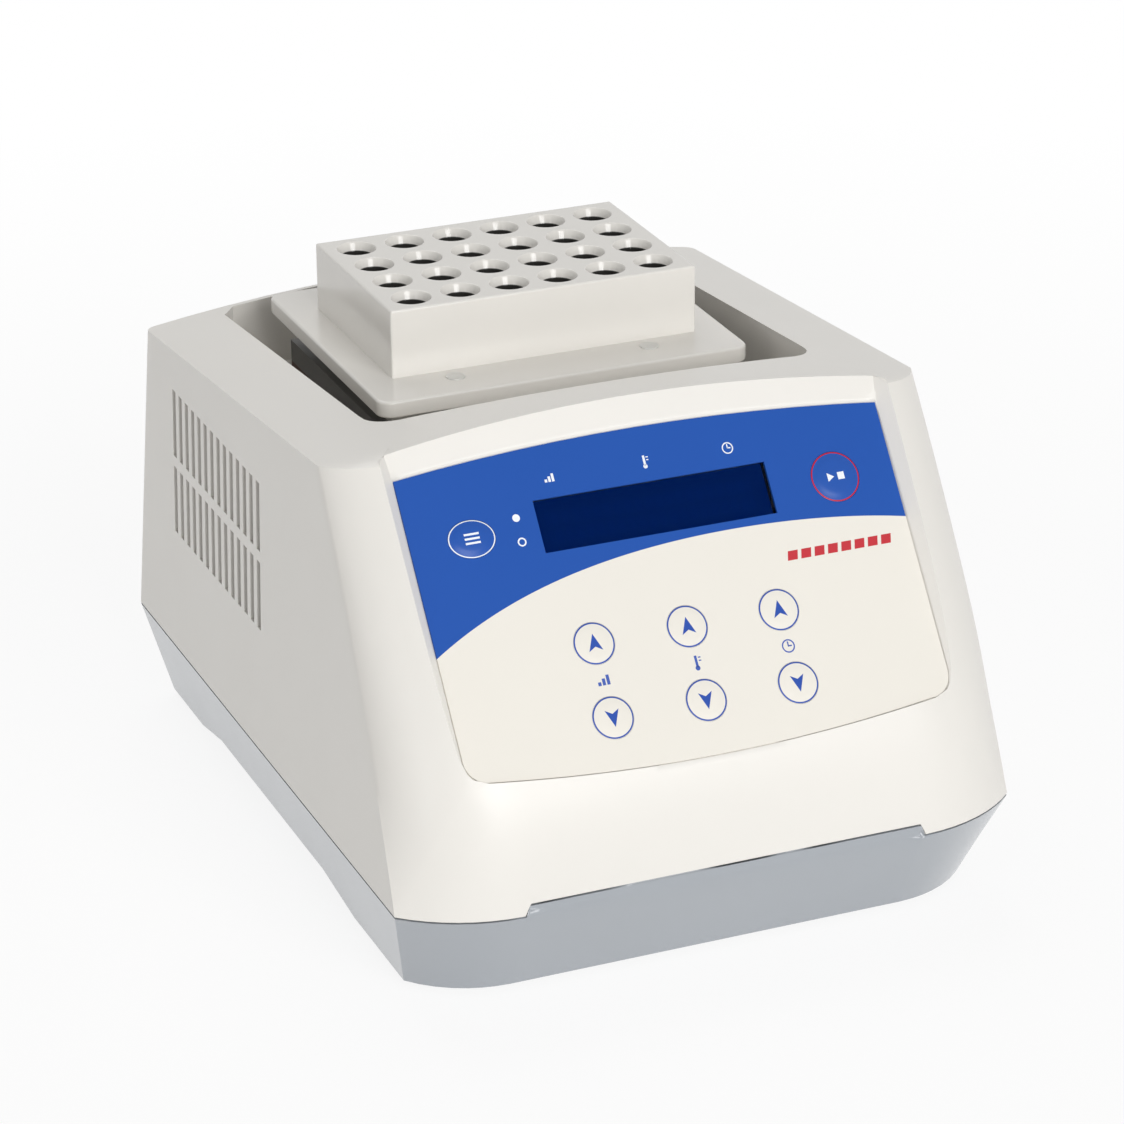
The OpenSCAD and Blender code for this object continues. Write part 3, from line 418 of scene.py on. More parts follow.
def pulled(a, a_angle, a_pull, b, b_angle, b_pull):
    """A curve between two points that leaves each one along its own slope."""
    return (
        a,
        (a[0] + a_pull * math.cos(a_angle), a[1] + a_pull * math.sin(a_angle)),
        (b[0] - b_pull * math.cos(b_angle), b[1] - b_pull * math.sin(b_angle)),
        b,
    )


class Form:
    """The body's outer form, as the solids have it."""

    corner_d_top, corner_d_seam = 18.0, 16.0
    corner_run_top, corner_run_seam, corner_run_foot = 23.5, 40.0, 32.0
    front_slope, front_pull_low, front_pull_top = math.radians(86), 47.0, 115.0
    crease_slope, crease_pull = math.radians(68), 50.0
    recess_depth, recess_run, recess_run_top = 5.2, 5.3, 40.0
    overlay_steps, corner_steps = 40, 12
    overlay_w, overlay_up, overlay_down = 172.8, 20.2, 92.2
    overlay_bow, overlay_r, overlay_gap = 5.0, 8.0, 0.3
    well_w, well_front, well_back, well_z = 162.0, -43.7, 123.8, 130.0
    well_bow, well_r, well_back_r = 6.0, 12.0, 2.0
    block_cy = 48.0
    base_in_side, base_in_front, base_in_back = 8.5, 16.5, 9.0
    foot_h, tab_w, tab_h = 2.5, 140.0, 4.0
    grip_h, grip_in, grip_front, grip_back, grip_ramp = 6.0, 24.0, -37.5, 70.5, 27.0
    wall = 2.5

    def __init__(self, sizes):
        self.width, self.depth = sizes.body_w / MM, sizes.body_d / MM
        self.seam, self.top_w = sizes.seam_z / MM, sizes.top_w / MM
        self.crown_z, self.crown_r, self.tilt = sizes.crown_z / MM, sizes.crown_r / MM, sizes.top_tilt
        self.back_r = sizes.back_r / MM
        self.angle = sizes.panel_angle
        self.py, self.pz = -sizes.panel_y / MM, sizes.panel_z / MM
        fall = math.tan(self.tilt)
        self.side_z = self.crown_z - (self.top_w / 2) ** 2 / (2 * self.crown_r) - fall * self.block_cy
        self.loft_z = self.crown_z + fall * self.depth / 3 + 2
        self.draft = (self.width - self.top_w) / 2 / (self.side_z - self.seam)
        self.lean = sizes.back_lean / MM / (self.side_z - self.seam)
        top_y = self.py + (self.loft_z - self.pz) / math.tan(self.angle)
        top_y -= self.recess_depth / math.sin(self.angle)
        low_y = -self.depth / 2
        self.front_curve = pulled(
            (low_y, self.seam), self.front_slope, self.front_pull_low,
            (top_y, self.loft_z), self.angle, self.front_pull_top)
        self.crease_curve = pulled(
            (low_y + self.corner_d_seam, self.seam), self.crease_slope, self.crease_pull,
            (top_y + self.corner_d_top, self.loft_z), self.angle, self.crease_pull)

    def half(self, z):
        return self.top_w / 2 + self.draft * (self.side_z - z)

    def back(self, z):
        return self.depth / 2 - self.lean * (z - self.seam)

    def corner(self, z):
        """Half-width, front, and run, radius and end angle of the front corner at a height."""
        front = curve_y(self.front_curve, z)
        depth = curve_y(self.crease_curve, z) - front
        run = lerp(self.corner_run_seam, self.corner_run_top, (z - self.seam) / (self.loft_z - self.seam))
        r = (run * run + depth * depth) / (2 * depth)
        return self.half(z), front, run, r, math.asin((depth - r) / r)

    def front(self, a, z):
        """Point of the front: a is 0 in the middle, 1 where the corner starts and 2 at the crease."""
        half, front, run, r, end = self.corner(z)
        if a <= 1:
            return (a * (half - run), front, z)
        turn = lerp(-math.pi / 2, end, a - 1)
        return (half - run + r * math.cos(turn), front + r + r * math.sin(turn), z)

    def share(self, x, z):
        """The a of a point of the front."""
        half, _, run, r, end = self.corner(z)
        if x <= half - run:
            return x / (half - run)
        turn = -math.acos(min(1.0, (x - half + run) / r))
        return 1 + (turn + math.pi / 2) / (end + math.pi / 2)

    def crown(self, x, y):
        rise = math.sqrt(self.crown_r**2 - x * x) - self.crown_r
        return self.crown_z + (rise - y * math.sin(self.tilt)) / math.cos(self.tilt)

    def front_top(self, a):
        """Height at which the front meets the crown."""

        def below(z):
            return z < self.crown(*self.front(a, z)[:2])

        return last_passing(self.seam + 60, self.loft_z, below)

    def panel(self, x, up, out):
        """Point of the panel: across, up the slope from the datum, and out along the normal."""
        c, s = math.cos(self.angle), math.sin(self.angle)
        return (x, self.py + c * up - s * out, self.pz + s * up + c * out)

    def overlay_half(self, side, up, down):
        """Right half of the overlay's outline, from the top's middle to the bottom's middle."""
        steps = self.overlay_steps
        half, top, low = self.overlay_w / 2 + side, self.overlay_up + up, -self.overlay_down - down
        top_r = (half**2 + self.overlay_bow**2) / (2 * self.overlay_bow)
        flat = half - self.overlay_r
        low_r = (flat**2 + self.overlay_bow**2) / (2 * self.overlay_bow)
        turn, low_turn, quarter = math.asin(half / top_r), math.asin(flat / low_r), math.pi / 2
        over = arc(0, top - top_r, top_r, quarter, quarter - turn, steps)
        corner_y = low + self.overlay_bow + self.overlay_r
        corner = arc(flat, corner_y, self.overlay_r, 0, -math.radians(82), self.corner_steps)
        side_line = [(half, lerp(over[-1][1], corner[0][1], i / (2 * steps))) for i in range(1, 2 * steps)]
        under = arc(0, low + low_r, low_r, -quarter + low_turn, -quarter, steps)
        return over + side_line + corner + under

    def recess_edge(self):
        """Outer edge and foot of the recess's wall along the right half; 1 where the edge is on the top."""
        gap = self.overlay_gap
        foot = self.overlay_half(gap, gap, gap)
        rim = self.overlay_half(gap + 2 * self.recess_run, gap + 2 * self.recess_run_top, gap + 1)
        rows = []
        for (fx, fu), (rx, ru) in zip(foot, rim):
            lo, hi = 0.0, 1.0
            on_top = False
            for _ in range(36):
                mid = (lo + hi) / 2
                p = self.panel(lerp(fx, rx, mid), lerp(fu, ru, mid), 2 * self.recess_depth * mid)
                over = p[2] - self.crown(p[0], p[1])
                proud = self.front(self.share(min(p[0], self.half(p[2]) - 0.01), p[2]), p[2])[1] - p[1]
                if over > 0 or proud > 0:
                    on_top = over > proud
                    hi = mid
                else:
                    lo = mid
            edge = self.panel(lerp(fx, rx, lo), lerp(fu, ru, lo), 2 * self.recess_depth * lo)
            rows.append((*edge, *self.panel(fx, fu, 0.0), 1.0 if on_top else 0.0))
        return rows

    def well_half(self):
        """Right half of the sunk well's outline, front to back."""
        half, r, n = self.well_w / 2, self.well_r, self.corner_steps
        chord = half - r
        bow_r = (chord**2 + self.well_bow**2) / (2 * self.well_bow)
        turn = math.asin(chord / bow_r)
        line = arc(0, self.well_front + bow_r, bow_r, -math.pi / 2, -math.pi / 2 + turn, 2 * n)
        line += arc(half - r, self.well_front + self.well_bow + r, r, -math.radians(80), 0, n)
        r = self.well_back_r
        line += arc(half - r, self.well_back - r, r, 0, math.pi / 2, n)
        return line + [(0, self.well_back)]


def toward(outline, centre, want):
    """Where a line from a centre, at an angle from straight ahead, crosses a star-shaped outline."""
    line = np.asarray(outline, float) - centre
    turns = np.unwrap(np.arctan2(line[:, 0], -line[:, 1]))
    for i in range(len(line) - 1):
        if min(turns[i], turns[i + 1]) - 1e-9 <= want <= max(turns[i], turns[i + 1]) + 1e-9:
            d = np.array([math.sin(want), -math.cos(want)])
            e = line[i + 1] - line[i]
            det = d[0] * -e[1] + d[1] * e[0]
            if abs(det) < 1e-12:
                continue
            far = (line[i][0] * -e[1] + line[i][1] * e[0]) / det
            return tuple(d * far + centre)
    return tuple(line[0] + centre if want < turns[0] else line[-1] + centre)


BACK_Z = 100.0
BACK_CUTS = {"inlet": (-55.0, 30.6, 36.6), "switch": (-5.0, 17.6, 26.6)}


def cut_back(made, form, x, wide, tall):
    """Cuts a fitting's opening into the back wall: its middle across, its width and its height."""
    tall *= math.cos(math.atan(form.lean))
    x0, x1, z0, z1 = [v * MM for v in (x - wide / 2, x + wide / 2, BACK_Z - tall / 2, BACK_Z + tall / 2)]

    def touched():
        for face in made.faces:
            xs, zs = [v.co.x for v in face.verts], [v.co.z for v in face.verts]
            on_wall = face.normal.y > 0.9 and face.verts[0].co.y > 0.11
            meets_x = max(xs) > x0 + NEAR and min(xs) < x1 - NEAR
            if on_wall and meets_x and max(zs) > z0 + NEAR and min(zs) < z1 - NEAR:
                yield face

    across, upward = (1, 0, 0), (0, 0, 1)
    for at, way in (((x0, 0, 0), across), ((x1, 0, 0), across), ((0, 0, z0), upward), ((0, 0, z1), upward)):
        faces = list(touched())
        parts = {part for face in faces for part in (*face.edges, *face.verts)}
        bmesh.ops.bisect_plane(made, geom=faces + list(parts), dist=1e-7, plane_co=at, plane_no=way)
    bmesh.ops.delete(made, geom=list(touched()), context="FACES")


VENTS, VENT_PITCH, VENT_W, VENT_H, VENT_GAP = 14, 7.0, 3.6, 25.2, 4.0
VENT_Y, VENT_Z = 49.5, 109.3
SIDE_START, SIDE_END, BACK_START = -80.0, 104.0, 120.0
LIP_SHARE, FRONT_LIP_SHARE, LIP_IN = 0.972, 0.97, 3.0
FILM_BED = 1.06


def make_housing(sizes):
    """The upper housing: front with its recess, sides with vent slots, back, crowned top and sunk well."""
    form = Form(sizes)
    gap = sizes.seam_gap / MM
    low = form.seam + gap
    sheet = Patchwork()
    slot_rows = [VENT_Z + s * (VENT_H + VENT_GAP) / 2 + e * VENT_H / 2 for s in (-1, 1) for e in (-1, 1)]
    fixed = [low, 39.0, 44, 50, 56, 62, 68, 75, slot_rows[0], 90.5, 99, *slot_rows[1:3], 119.7, 128]
    fixed += [slot_rows[3], 140.0]
    upper = [0.25, 0.5, 0.75, 1.0]

    def heights(top):
        return fixed + [lerp(fixed[-1], top, f) for f in upper]

    # The front, from the recess's edge out to the crease and down to the seam.
    edge = form.recess_edge()
    split = next(i for i in range(len(edge)) if edge[i][6] < 0.5)
    crease_top = form.front_top(2.0)
    rows_up = heights(crease_top)
    side_share = [(crease_top - z) / (crease_top - low) for z in reversed(rows_up)]
    corner_at = len(edge) - form.overlay_steps - 1 - form.corner_steps // 2
    side_path = resampled(edge[split:corner_at + 1], side_share)
    tab_a = [form.share(x, form.seam + 2) for x in (form.tab_w / 2 + 2.0, form.tab_w / 2 + 0.3)]
    front_a = [2, 1.88, 1.76, 1.64, 1.52, 1.4, 1.28, 1.16, *tab_a, 0.9, 0.75, 0.6, 0.45, 0.3, 0.15, 0]
    low_share = [i / (len(front_a) - 1) for i in range(len(front_a))]
    low_path = resampled(edge[corner_at:], low_share)
    inner = np.concatenate([side_path, low_path[1:]])
    outer = [(2.0, z) for z in reversed(rows_up)]
    raised = [0.0 if a > tab_a[1] + NEAR else form.tab_h for a in front_a]
    outer += [(a, low + r) for a, r in zip(front_a[1:], raised[1:])]
    steps = [0, 0.08, 0.2, 0.35, 0.5, 0.65, 0.8, 0.92, 1.0]
    strip = [[] for _ in steps]
    for (ex, ey, ez, *_), (oa, oz) in zip(inner, outer):
        ea = form.share(ex, ez)
        ev = (ez - low) / (form.front_top(ea) - low)
        ov = (oz - low) / (form.front_top(oa) - low)
        for row, f in zip(strip, steps):
            a, v = lerp(ea, oa, f), lerp(ev, ov, f)
            row.append(form.front(a, lerp(low, form.front_top(a), v)) if f > 0 else (ex, ey, ez))
    sheet.grid(strip)
    seam_line = strip[-1][len(rows_up) - 1:]
    sheet.grid([seam_line, [(x * FRONT_LIP_SHARE, y + LIP_IN, z) for x, y, z in seam_line]])

    # The sides and the back, with the vent slots.
    slot_mids = [VENT_Y + (i - (VENTS - 1) / 2) * VENT_PITCH for i in range(VENTS)]
    slot_y = [y + s * VENT_W / 2 for y in slot_mids for s in (-1, 1)]
    columns = [("lead", f) for f in (0, 0.08, 0.2, 0.35, 0.5, 0.68, 0.86)]
    columns += [("at", y) for y in (0.0, *slot_y, SIDE_END)]
    columns += [("rest", f) for f in (0.5, 1.0)] + [("turn", f) for f in (0.2, 0.4, 0.6, 0.8, 1.0)]
    columns += [("back", f) for f in (0.12, 0.25, 0.4, 0.55, 0.7, 0.85, 1.0)]

    def side_point(kind, f, z):
        half, r = form.half(z), form.back_r
        if kind == "lead":
            y = lerp(curve_y(form.crease_curve, z), 0.0, f)
            return (half, y, z)
        if kind == "at":
            return (half, f, z)
        end = form.back(z) - r
        if kind == "rest":
            return (half, lerp(SIDE_END, end, f), z)
        if kind == "turn":
            t = f * math.pi / 2
            return (half - r + r * math.cos(t), end + r * math.sin(t), z)
        return ((half - r) * (1 - f), end + r, z)

    def column_top(kind, f):
        def below(z):
            return z < form.crown(*side_point(kind, f, z)[:2])

        return last_passing(fixed[-1], form.loft_z, below)

    wall = [[] for _ in rows_up]
    for kind, f in columns:
        for row, z in zip(wall, heights(column_top(kind, f))):
            row.append(side_point(kind, f, z))
    first = next(i for i, c in enumerate(columns) if c[0] == "at") + 1
    slot_cols = {first + 2 * i for i in range(VENTS)}
    marks = [fixed.index(z) for z in slot_rows]
    spans = [marks[:2], marks[2:]]
    sheet.grid(wall, lambda i, j: j in slot_cols and any(a <= i < b for a, b in spans))
    for j in slot_cols:
        for a, b in spans:
            loop = [wall[i][j] for i in range(a, b + 1)] + [wall[i][j + 1] for i in range(b, a - 1, -1)]
            loop.append(loop[0])
            sheet.grid([loop, [(x - form.wall, y, z) for x, y, z in loop]])
    sheet.grid([wall[0], [(x * LIP_SHARE, y if y < BACK_START else y - LIP_IN, z) for x, y, z in wall[0]]])

    # The crowned top, the walls of the sunk well, and the well's floor round the hole under the block.
    corner, over, beside = form.overlay_steps, 26, 6
    front_line = np.concatenate([
        resampled(edge[: corner + 1], [i / over for i in range(over + 1)]),
        resampled(edge[corner: split + 1], [i / beside for i in range(1, beside + 1)])])
    ring = [(p[0], p[1], p[2]) for p in front_line] + [row[0] for row in strip[1:]] + wall[-1][1:]
    outline = form.well_half()
    centre = np.array([0.0, 42.0])
    least_turn = 0.004
    turns = []
    for p in ring:
        turn = math.atan2(p[0] - centre[0], centre[1] - p[1])
        turns.append(max(turn, turns[-1] + least_turn) if turns else turn)
    rim = []
    for turn in turns:
        q = toward(outline, centre, turn)
        rim.append((q[0], q[1], form.crown(q[0], q[1])))
    top = []
    for f in (0, 0.1, 0.3, 0.5, 0.7, 0.9, 1.0):
        row = []
        for p, q in zip(ring, rim):
            x, y = lerp(p[0], q[0], f), lerp(p[1], q[1], f)
            row.append(p if f == 0 else (x, y, form.crown(x, y)))
        top.append(row)
    sheet.grid(top)
    sheet.grid([[(x, y, lerp(z, form.well_z, f)) for x, y, z in rim] for f in (0, 0.15, 0.5, 0.85, 1.0)])
    hole_x, near, far = 66, form.block_cy - 56, form.block_cy + 56
    hole = [(0, near), (hole_x, near), (hole_x, far), (0, far)]
    inside = [toward(hole, centre, turn) for turn in turns]
    ledge = []
    for f in (0, 0.2, 0.6, 1):
        ledge.append([(lerp(p[0], q[0], f), lerp(p[1], q[1], f), form.well_z) for p, q in zip(rim, inside)])
    ledge.append([(q[0], q[1], form.well_z - form.wall) for q in inside])
    sheet.grid(ledge)

    # The recess's wall and the bed of the film.
    whole = np.concatenate([front_line, inner[1:]])
    feet = [tuple(p[3:6]) for p in whole]
    n = np.array([0.0, -math.sin(form.angle), math.cos(form.angle)])
    sunk = [tuple(np.array(p) - FILM_BED * n) for p in feet]
    middle = np.array(form.panel(0, -36, -FILM_BED))
    under = [tuple(np.array(p) * 0.94 + middle * 0.06) for p in sunk]
    walls = []
    for f in (0, 0.15, 0.5, 0.85, 1.0):
        walls.append([tuple(lerp(np.array(p[:3]), np.array(p[3:6]), f)) for p in whole])
    sheet.grid(walls + [sunk, under])

    made = sheet.build(mirrored=True)
    for x, wide, tall in BACK_CUTS.values():
        cut_back(made, form, x, wide, tall)
    slim = sizes.slot_round / sizes.edge_round

    def weigh(edge):
        at = (edge.verts[0].co + edge.verts[1].co) / 2 / MM
        on_slots = abs(at.x) > 100 and 2 < at.y < 102 and 80 < at.z < 138
        out = math.cos(form.angle) * (at.z - form.pz) - math.sin(form.angle) * (at.y - form.py)
        on_bed = -1.5 < out < 0.6 and abs(at.x) < 89 and at.z > form.seam + 30
        if on_bed:
            return 0.0
        return slim if on_slots or at.z < low + 6 else 1.0

    soften(made, 24.0, weigh)
    return made, form


def make_base(sizes, form):
    """The base tray: drawn in to the bottom, with a tab in the front seam and finger grips in the sides."""
    gap = sizes.seam_gap / MM
    bottom, high = form.foot_h, form.seam - gap
    sheet = Patchwork()

    def plan(t):
        u = 1 - t
        half, front = form.width / 2 - u * form.base_in_side, -form.depth / 2 + u * form.base_in_front
        run, depth = lerp(form.corner_run_foot, form.corner_run_seam, t), form.corner_d_seam
        r = (run * run + depth * depth) / (2 * depth)
        return half, front, run, r, math.asin((depth - r) / r), form.depth / 2 - u * form.base_in_back

    def point(kind, f, z):
        if kind == "front" and f <= a_end + NEAR and z > high - 2 * form.tab_h + NEAR:
            t = 2 - math.sqrt(2 - (z - high) / form.tab_h)
            foot, crease, head = (np.array(at) for at in (
                point(kind, f, high - 2 * form.tab_h), form.front(f, high), form.front(f, high + form.tab_h)))
            return tuple((1 - t) ** 2 * foot + 2 * t * (1 - t) * crease + t * t * head)
        half, front, run, r, end, back = plan((z - bottom) / (form.seam - bottom))
        if kind == "front":
            if f <= 1:
                return (f * (half - run), front, z)
            turn = lerp(-math.pi / 2, end, f - 1)
            return (half - run + r * math.cos(turn), front + r + r * math.sin(turn), z)
        if kind == "lead":
            return (half, lerp(front + r + r * math.sin(end), SIDE_START, f), z)
        if kind == "at":
            return (half, f, z)
        br = form.back_r
        if kind == "rest":
            return (half, lerp(SIDE_END, back - br, f), z)
        if kind == "turn":
            t = f * math.pi / 2
            return (half - br + br * math.cos(t), back - br + br * math.sin(t), z)
        return ((half - br) * (1 - f), back, z)

    a_end = form.share(form.tab_w / 2 - 0.1, form.seam)
    a_out = form.share(form.tab_w / 2 + 1.6, form.seam)
    front_a = (0, 0.15, 0.3, 0.45, 0.6, 0.75, 0.9, a_end, a_out, 1.16, 1.28, 1.4, 1.55, 1.7, 1.85, 2.0)
    columns = [("front", a) for a in front_a]
    columns += [("lead", f) for f in (0.3, 0.6, 1.0)]
    ramp = form.grip_ramp
    marks = [form.grip_front - ramp, form.grip_front, form.grip_back, form.grip_back + ramp]
    side_y = (-72, marks[0], -52, marks[1], -30, -10, 10, 30, 52, marks[2], 85, marks[3], SIDE_END)
    columns += [("at", y) for y in side_y]
    columns += [("rest", f) for f in (0.5, 1.0)] + [("turn", f) for f in (0.2, 0.4, 0.6, 0.8, 1.0)]
    columns += [("back", f) for f in (0.15, 0.35, 0.55, 0.75, 1.0)]

    def lowest(kind, f):
        if kind != "at":
            return bottom
        return bottom + form.grip_h * float(np.interp(f, marks, [0, 1, 1, 0]))

    def highest(kind, f):
        return high + form.tab_h if kind == "front" and f <= a_end + NEAR else high

    # The outer wall.
    steps = (0, 0.06, 0.2, 0.4, 0.6, 0.8, 0.94, 1.0)
    side = [[] for _ in steps]
    for kind, f in columns:
        lo = lowest(kind, f)
        for row, t in zip(side, steps):
            row.append(point(kind, f, lerp(lo, high, t)))
    sheet.grid(side)
    # The tab in the seam, and the lip that turns in at the top.
    tab = [f for kind, f in columns if kind == "front" and f <= a_out + NEAR]
    sheet.grid([[point("front", f, lerp(high, highest("front", f), t)) for f in tab] for t in (0, 0.5, 1)])
    brow = [point(k, f, highest(k, f)) for k, f in columns]
    lip = []
    for (x, y, z), (kind, _) in zip(brow, columns):
        if kind in ("front", "lead"):
            y += LIP_IN
        elif kind == "back" or y > BACK_START:
            y -= LIP_IN
        lip.append((x * LIP_SHARE, y, z))
    sheet.grid([brow, lip])
    # The underside, with the roofs of the finger grips.
    grip_x = form.width / 2 - form.base_in_side - form.grip_in
    foot_share = 0.985
    inset = []
    for (x, y, z), (kind, _) in zip(side[0], columns):
        in_grip = kind == "at" and z > bottom + 0.01
        inset.append((grip_x, y, z) if in_grip else (x * foot_share, y * foot_share, bottom))
    flat = [(x, y, bottom) for x, y, _ in inset]
    sheet.grid([side[0], inset, flat])
    for i in range(len(flat) - 1):
        sheet.cap([flat[i], flat[i + 1], (0, flat[i + 1][1], bottom), (0, flat[i][1], bottom)])
    made = sheet.build(mirrored=True)
    lowest_face = min(made.faces, key=lambda f: f.calc_center_median().z)
    if lowest_face.normal.z > 0:
        bmesh.ops.reverse_faces(made, faces=made.faces[:])
    soften(made, 20.0, lambda e: 0.25 if min(v.co.z for v in e.verts) / MM > high - 1 else 1.0)
    return made


def make_seam_band(form):
    """The dark strip at the bottom of the seam's groove: a painted shadow there."""
    sheet = Patchwork()
    inset, over = 2.0, 1.2
    r, half, end = form.back_r, form.half(form.seam), form.depth / 2
    path = [form.front(a / 8, form.seam) for a in range(17)]
    path += [(half, y, form.seam) for y in (-60, 0, 60, end - r)]
    path += [(x, y, form.seam) for x, y in arc(half - r, end - r, r, 0, math.pi / 2, 6)[1:]]
    path += [(0, end, form.seam)]
    ring = [(x * (1 - inset / half), y * (1 - inset / end), z) for x, y, z in path]
    sheet.grid([[(x, y, z - over) for x, y, z in ring], [(x, y, z + form.tab_h + over) for x, y, z in ring]])
    return sheet.build(mirrored=True)


def node_mesh(name, tree, inputs, material):
    """Runs a Geometry Nodes tree on an empty mesh and keeps its result as a plain mesh object."""
    thing = bpy.data.objects.new(name, bpy.data.meshes.new(name))
    bpy.context.scene.collection.objects.link(thing)
    run = thing.modifiers.new("Pattern", "NODES")
    run.node_group = tree
    named = {item.name: item.identifier for item in tree.interface.items_tree if item.in_out == "INPUT"}
    for key, value in inputs.items():
        run[named[key]] = value
    plain(thing)
    if not thing.data.materials:
        thing.data.materials.append(material)
    return thing


class Tree:
    """A Geometry Nodes tree under construction."""

    def __init__(self, name, **inputs):
        self.tree = bpy.data.node_groups.new(name, "GeometryNodeTree")
        self.tree.interface.new_socket("Geometry", in_out="OUTPUT", socket_type="NodeSocketGeometry")
        kinds = {"count": "NodeSocketInt", "size": "NodeSocketFloat", "object": "NodeSocketObject",
                 "place": "NodeSocketVector", "material": "NodeSocketMaterial"}
        for key, kind in inputs.items():
            self.tree.interface.new_socket(key, in_out="INPUT", socket_type=kinds[kind])
        self.given = self.tree.nodes.new("NodeGroupInput").outputs

    def node(self, kind, settings=None, **inputs):
        node = self.tree.nodes.new(kind)
        for key, value in (settings or {}).items():
            setattr(node, key, value)
        for key, value in inputs.items():
            socket = node.inputs[socket_key(key)]
            if isinstance(value, bpy.types.NodeSocket):
                self.tree.links.new(value, socket)
            else:
                socket.default_value = value
        return node.outputs

    def done(self, geometry, material):
        """Ends the tree in real mesh with its material."""
        solid = self.node("GeometryNodeRealizeInstances", Geometry=geometry)[0]
        merged = self.node("GeometryNodeMergeByDistance", Geometry=solid, Distance=MERGE)[0]
        painted = self.node("GeometryNodeSetMaterial", Geometry=merged, Material=material)[0]
        self.tree.links.new(painted, self.tree.nodes.new("NodeGroupOutput").inputs[0])
        return self.tree


CELL_SIDES = 48
WELL_PITCH, WELLS_ACROSS, WELLS_ALONG = 18.0, 6, 4


def grid_tree():
    """Copies of one cell on a level grid of places."""
    made = Tree("Cells on a grid", Cell="object", Across="count", Along="count", Pitch="size",
                Middle="place", Finish="material")
    given = made.given

    def span(count):
        run = made.node("ShaderNodeMath", {"operation": "MULTIPLY"}, _0=given[count], _1=given["Pitch"])[0]
        return made.node("ShaderNodeMath", {"operation": "SUBTRACT"}, _0=run, _1=given["Pitch"])[0]

    grid = made.node("GeometryNodeMeshGrid", Size_X=span("Across"), Size_Y=span("Along"),
                     Vertices_X=given["Across"], Vertices_Y=given["Along"])[0]
    moved = made.node("GeometryNodeTransform", Geometry=grid, Translation=given["Middle"])[0]
    cell = made.node("GeometryNodeObjectInfo", Object=given["Cell"])["Geometry"]
    copies = made.node("GeometryNodeInstanceOnPoints", Points=moved, Instance=cell)[0]
    return made.done(copies, given["Finish"])


def tube_cell(pitch, r, mouth, mouth_h, depth):
    """One square of the block's top with its tube well, top at height 0."""
    sheet = Patchwork()
    turns = [math.pi / 4 + 2 * math.pi * i / CELL_SIDES for i in range(CELL_SIDES + 1)]
    square = []
    for t in turns:
        c, s = math.cos(t), math.sin(t)
        k = pitch / 2 / max(abs(c), abs(s))
        square.append((c * k, s * k, 0.0))

    def ring(radius, z):
        return [(radius * math.cos(t), radius * math.sin(t), z) for t in turns]

    half = [tuple(lerp(np.array(a), np.array(b), 0.5)) for a, b in zip(square, ring(mouth + 0.25, 0.0))]
    profile = [
        (mouth + 0.25, 0.0), (mouth - 0.02, -0.08), (mouth - 0.2, -0.36),
        (lerp(mouth, r, 0.5), -mouth_h * 0.5), (r + 0.12, -mouth_h + 0.25), (r, -mouth_h - 0.3),
        (r, -depth * 0.5), (r, -depth + 0.8), (r - 0.8, -depth),
    ]
    sheet.grid([square, half] + [ring(a, z) for a, z in profile])
    sheet.cap(ring(r - 0.8, -depth)[:-1])
    return sheet.build()


